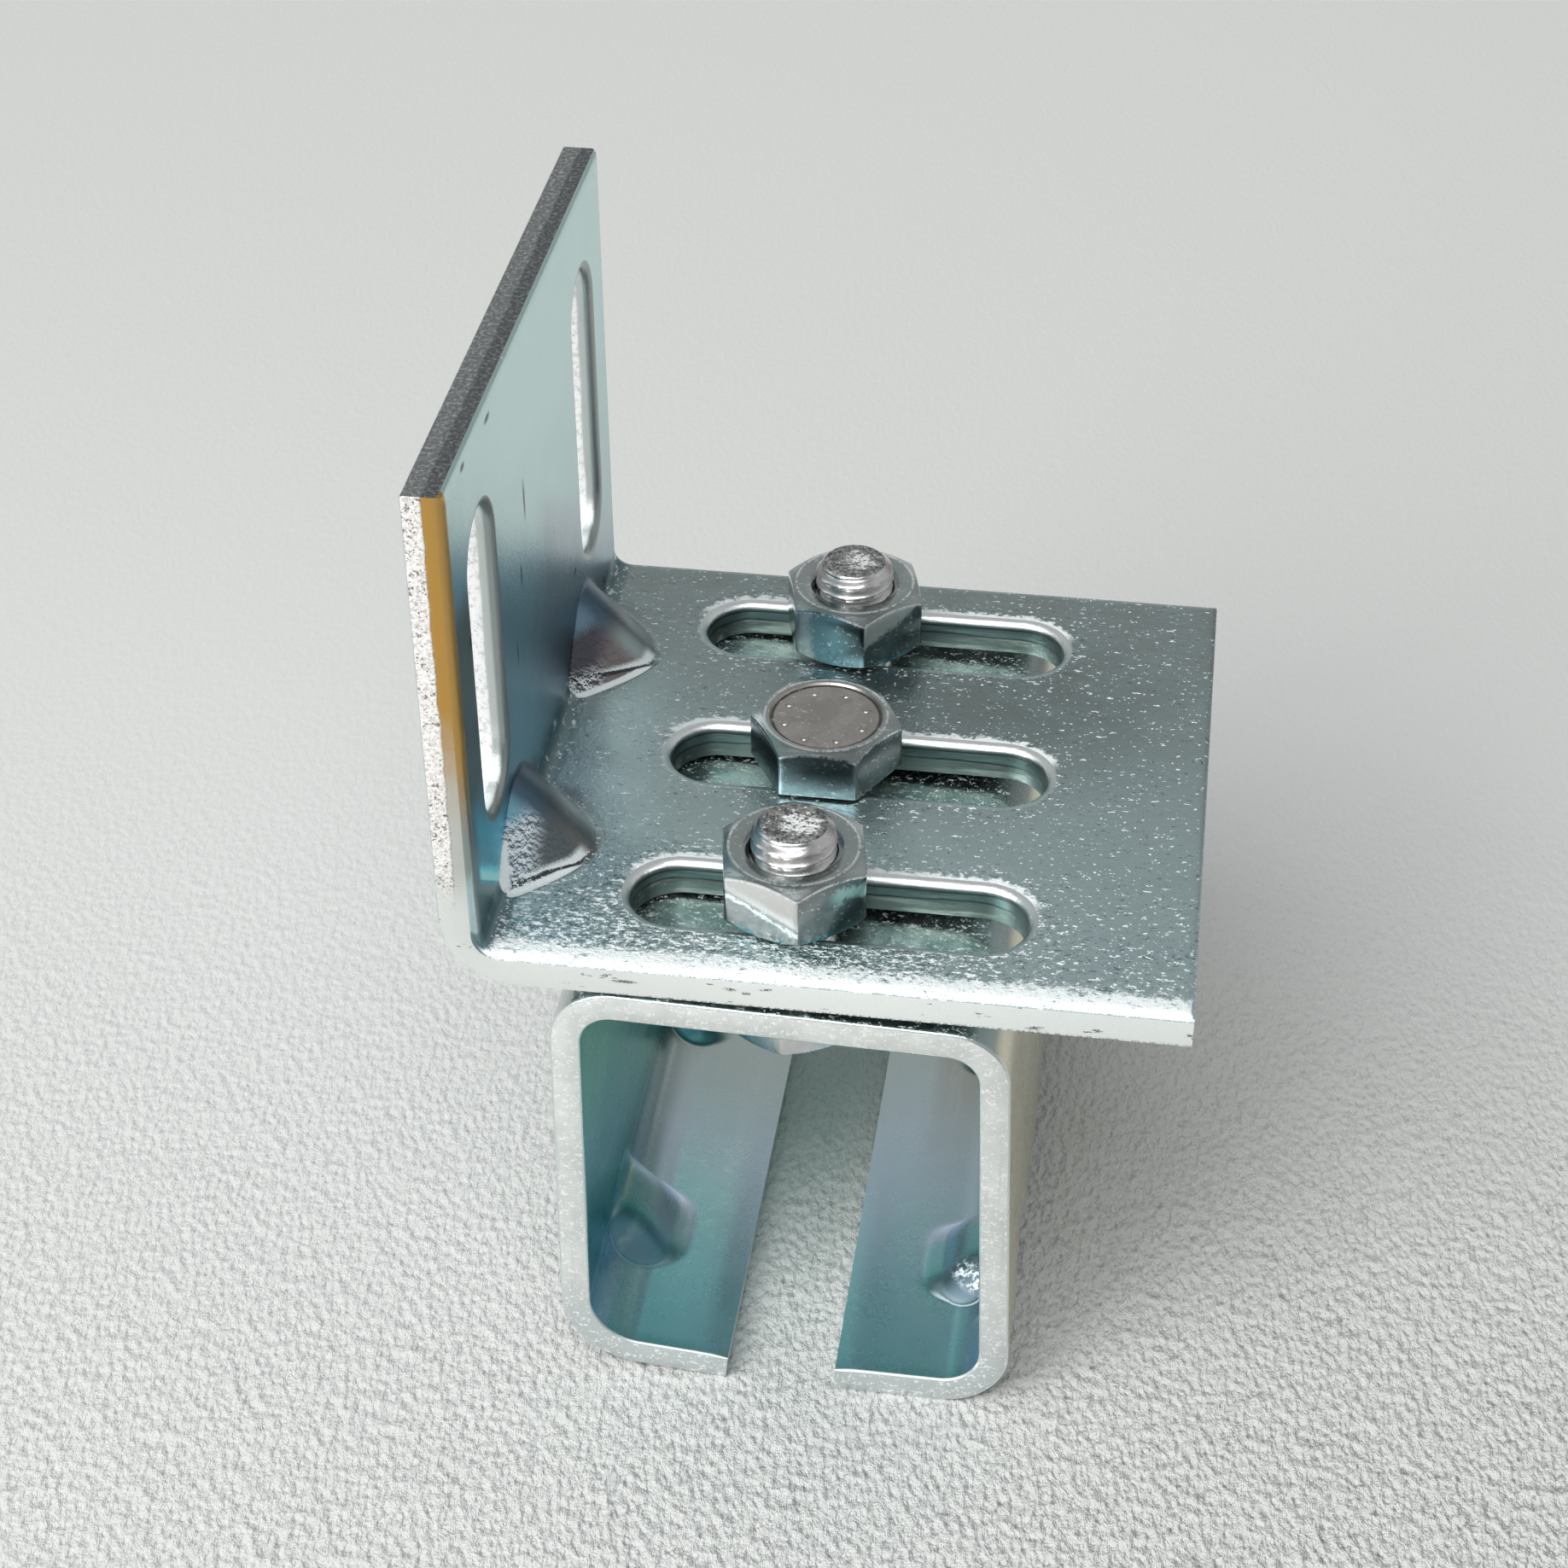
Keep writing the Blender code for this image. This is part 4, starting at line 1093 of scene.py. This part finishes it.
def hex_radius(angle):
    """Distance from the axis to a hexagon's side, its corners slightly rounded."""
    power = 90
    total = sum(abs(cos(angle - radians(60 * k + 30))) ** power for k in range(3))
    return ACROSS_FLATS / 2 / total ** (1 / power)


def circle(radius, height):
    return [Vector((radius * cos(a), radius * sin(a), height)) for a in ANGLES]


def hex_ring(inset, height_of, share=1.0):
    """A ring on a hexagon's sides, or a share of the way to them from its rim circle."""
    ring = []
    for angle in ANGLES:
        radius = hex_radius(angle)
        if share < 1.0:
            radius = HEX_RIM + (radius - HEX_RIM) * share
        reach = radius - inset
        ring.append(Vector((reach * cos(angle), reach * sin(angle), height_of(radius))))
    return ring


def chamfer_drop(radius):
    return max(radius - HEX_RIM, 0.0) * HEX_CHAMFER


def hex_side(top, bottom, both):
    """Rings from a hexagon's rim circle down its flats to its seat."""
    soft = 0.00012
    rings = [circle(HEX_RIM - soft, top), circle(HEX_RIM, top - soft * 0.25)]
    for share in (0.34, 0.67):
        rings.append(hex_ring(0.0, lambda r: top - chamfer_drop(r), share))
    rings.append(hex_ring(soft * 0.7, lambda r: top - chamfer_drop(r - soft)))
    rings.append(hex_ring(0.0, lambda r: top - chamfer_drop(r) - soft))
    if both:
        rings.append(hex_ring(0.0, lambda r: bottom + chamfer_drop(r) + soft))
        rings.append(hex_ring(soft * 0.7, lambda r: bottom + chamfer_drop(r - soft)))
        rings.append(circle(HEX_RIM, bottom))
    else:
        rings.append(hex_ring(0.0, lambda r: bottom + soft))
        rings.append(hex_ring(soft, lambda r: bottom))
    return rings


def thread_depth(phase):
    """The depth of a thread, from 0 at its crest to 1 at its root, round one pitch."""
    t = abs((phase % 1.0) - 0.5) * 2
    value = min(max((1 - t - 0.09) / 0.80, 0.0), 1.0)
    return value * value * (3 - 2 * value) * 0.5 + value * 0.5


def shank(start, end, steps=14):
    """Rings of a threaded shank from start down to its end, its tip chamfered."""
    rings = []
    count = int((start - end) / (THREAD_PITCH / steps))
    for height in between(start, end, count):
        ring = []
        for i, angle in enumerate(ANGLES):
            depth = thread_depth(height / THREAD_PITCH - i / SEGMENTS)
            tip = THREAD_RADIUS - TIP_CHAMFER + (height - end) * 1.1
            r = min(THREAD_RADIUS - THREAD_DEPTH * depth, tip)
            ring.append(Vector((r * cos(angle), r * sin(angle), height)))
        rings.append(ring)
    return rings


def make_bolt(name, length, matrix, materials, body, node, slot):
    """A hexagon bolt, head up, with the face under its head at height 0."""
    radius = BOLT_DIAMETER / 2
    recess = [
        (0.0012, HEAD_RECESS), (0.0026, HEAD_RECESS), (0.0040, HEAD_RECESS),
        (HEX_RIM - 0.00085, HEAD_RECESS), (HEX_RIM - 0.00070, 0.00024),
        (HEX_RIM - 0.00055, 0.00004), (HEX_RIM - 0.00042, 0.0),
    ]
    rings = [[Vector((0, 0, HEAD_HEIGHT - HEAD_RECESS))]]
    rings += [circle(r, HEAD_HEIGHT - depth) for r, depth in recess]
    top_rings = len(rings)
    rings += hex_side(HEAD_HEIGHT, 0.0, False) + [circle(THREAD_RADIUS, 0.0)]
    rings += shank(-0.0002, -length + 0.0001)
    tip_start = len(rings) - 1
    rings.append(circle(radius - 0.00105, -length + 0.00002))
    rings += [circle(radius - 0.0016, -length), circle(0.0012, -length)]
    rings.append([Vector((0, 0, -length))])
    indices = [1] * (top_rings - 1) + [0] * (tip_start - top_rings + 1) + [2] * 4
    mesh = ring_mesh(name, rings, indices, False, matrix)
    seat(shown(name, mesh, materials), 35, body, slot, node)


def make_pips(name, matrix, material, body, slot):
    """Plain raised pips in a ring on the head."""
    work = bmesh.new()
    base = HEAD_HEIGHT - 0.00027
    for k in range(8):
        angle = 2 * pi * (k + 0.5) / 8
        centre = Vector((PIP_CIRCLE * cos(angle), PIP_CIRCLE * sin(angle), base))
        made = bmesh.ops.create_uvsphere(
            work, u_segments=16, v_segments=8, radius=PIP_RADIUS, matrix=Matrix.Translation(centre)
        )
        for vert in made["verts"]:
            vert.co.z = base + max(vert.co.z - base, -0.00002) * 0.45
    mesh = set_down(to_mesh(work, name, outward=False), matrix)
    seat(shown(name, mesh, (material,)), 60, body, slot)


def make_nut(name, matrix, material, body, node):
    rings = hex_side(NUT_HEIGHT, 0.0, True)
    rings.append(circle(NUT_MOUTH, 0.0))
    rings.append(circle(NUT_BORE, NUT_MOUTH - NUT_BORE))
    rings.append(circle(NUT_BORE, NUT_HEIGHT - NUT_MOUTH + NUT_BORE))
    rings.append(circle(NUT_MOUTH - 0.00008, NUT_HEIGHT - 0.00008))
    rings.append(circle(NUT_MOUTH + 0.00006, NUT_HEIGHT))
    mesh = ring_mesh(name, rings, [0] * len(rings), True, matrix)
    seat(shown(name, mesh, (material,)), 35, body, "nut_zinc", node)


def make_fasteners():
    silver = fastener_material("fastener_plating", (0.50, 0.53, 0.54), (0.62, 0.65, 0.65), 0.17, True)
    thread = fastener_material("thread_plating", (0.60, 0.59, 0.58), (0.76, 0.75, 0.74), 0.20)
    warm = fastener_material("head_plating", (0.40, 0.38, 0.35), (0.52, 0.49, 0.46), 0.32, ring=0.0053)
    tip = tip_material()
    head_side = SLEEVE_OFFSET + ACROSS_FLATS / sqrt(3)
    across = head_side - SLEEVE_OFFSET + SLEEVE_WIDTH / 2 - TOP_BEND
    bearing = SLEEVE_HEIGHT - across * tan(TOP_TILT) - SLEEVE_WALL / cos(TOP_TILT) - SEAT
    down = Matrix.Rotation(pi, 4, "X") @ Matrix.Rotation(radians(30), 4, "Z")
    for side, y, turn in (("front", -SLOT_PITCH, -20.4), ("rear", SLOT_PITCH, -15.8)):
        place = Matrix.Translation((SLEEVE_OFFSET, y, bearing)) @ down
        bolt, nut = side + "_bolt", side + "_nut"
        materials = (thread, silver, tip)
        make_bolt(bolt + "_detail", BOLT_LENGTH, place, materials, "sleeve", bolt, "bolt_zinc")
        place = Matrix.Translation((SLEEVE_OFFSET, y, FLANGE_TOP + SEAT))
        place = place @ Matrix.Rotation(radians(turn), 4, "Z")
        make_nut(nut + "_detail", place, silver, nut, nut)
    place = Matrix.Translation((SLEEVE_OFFSET, 0, FLANGE_TOP + SEAT))
    screw, slot = "clamp_screw", "screw_zinc"
    make_bolt(screw + "_detail", SCREW_LENGTH, place, (silver, warm, tip), screw, screw, slot)
    make_pips(screw + "_detail_pips", place, warm, screw, slot)


# Stage
def make_floor():
    work = bmesh.new()
    bmesh.ops.create_grid(work, x_segments=1, y_segments=1, size=3.0)
    s = Shade("table_top")
    near = s.y.rise(0.09, -0.08)
    pebble = s.cells(0.00085, (1.0, 0.62, 1))
    crease = s.noise(0.00075, 3, 0.62, stretch=(1.0, 0.60, 1))
    wide = s.noise(0.006, 3, 0.5)
    right = s.x.rise(-0.10, 0.08)
    height = (pebble * 0.8 + crease * 1.2 + wide * 0.7) * (near * (right * 0.6 + 0.55) + 0.05)
    creases = s.relief(0.0008, 0.00022, 3, 0.65, stretch=(1.0, 0.62, 1), shift=(3, 8, 0))
    # painted light makes the floor lighter farther back, and painted shade darkens its creases
    s.colour = s.mix(s.y.rise(0.03, 0.40), (0.64, 0.645, 0.63), (0.73, 0.73, 0.71))
    s.paint(creases.rise(0.07, 0.16) * near * (right * 0.55 + 0.15), (0.25, 0.25, 0.25))
    s.shader.inputs["Specular IOR Level"].default_value = 0.3
    s.finish(0.6, height, 0.0010, 0.8, metallic=0.0)
    shown("floor", to_mesh(work, "floor", outward=False), (s.material,))


def make_world():
    """Soft round patches of light over a dim, even sky."""
    world = bpy.data.worlds.new("studio")
    scene.world = world
    world.use_nodes = True
    sky = Nodes(world.node_tree)
    direction = sky.new("TexCoord", {}, "Generated")
    total = 0.20
    for centre, inner, outer, strength in (
        ((-0.20, -0.62, 0.78), 8, 45, 1.25),
        ((-0.85, -0.25, 0.40), 5, 45, 0.80),
        ((-0.10, 0.80, 0.55), 10, 50, 0.24),
        ((0.00, 1.00, 0.00), 0, 30, 0.30),
        ((-0.20, -1.00, 0.10), 0, 40, 0.30),
        ((0.90, 0.10, 0.45), 5, 50, 0.34),
    ):
        ends = {0: direction, 1: Vector(centre).normalized()}
        facing = sky.new("VectorMath", ends, "Value", operation="DOT_PRODUCT")
        low, high = cos(radians(outer)), cos(radians(inner))
        total = sky.ramp(facing, low, high, 0.0, strength) + total
    background = world.node_tree.nodes["Background"]
    sky.put(background.inputs["Color"], (0.97, 0.99, 1.0))
    sky.put(background.inputs["Strength"], total)


def area_light(name, place, target, size, power, colour):
    data = bpy.data.lights.new(name, "AREA")
    data.shape = "RECTANGLE"
    data.size, data.size_y = size
    data.energy = power
    data.color = colour
    obj = placed(bpy.data.objects.new(name, data))
    obj.location = place
    obj.rotation_mode = "QUATERNION"
    obj.rotation_quaternion = (Vector(target) - Vector(place)).to_track_quat("-Z", "Y")


def make_lights():
    area_light("key", (-0.36, -0.44, 0.42), (0, 0, 0.03), (0.34, 0.34), 2.4, (1.0, 0.99, 0.97))
    area_light("overhead", (-0.05, -0.40, 0.78), (0, 0, 0.05), (0.6, 0.35), 2.1, (0.98, 0.99, 1.0))


def make_camera():
    """The photo's camera, as fitted to the bracket's corners, edges and slots."""
    azimuth, elevation, roll_angle = radians(-8.42), radians(36.78), radians(-0.32)
    forward = Vector(
        (cos(elevation) * sin(azimuth), cos(elevation) * cos(azimuth), -sin(elevation))
    )
    right = Vector((cos(azimuth), -sin(azimuth), 0))
    up = right.cross(forward)
    x_axis = cos(roll_angle) * right + sin(roll_angle) * up
    y_axis = -sin(roll_angle) * right + cos(roll_angle) * up
    matrix = Matrix((x_axis, y_axis, -forward)).transposed().to_4x4()
    matrix.translation = (0.02776, -0.23733, 0.22904)
    data = bpy.data.cameras.new("camera")
    data.sensor_width = 36.0
    data.lens = 3546 / 1837 * 36
    data.clip_start = 0.01
    data.clip_end = 10
    obj = placed(bpy.data.objects.new("camera", data))
    obj.matrix_world = matrix
    scene.camera = obj


make_camera()
make_bracket()
make_sleeve()
make_fasteners()
make_floor()
make_world()
make_lights()
scene.view_settings.view_transform = "Standard"
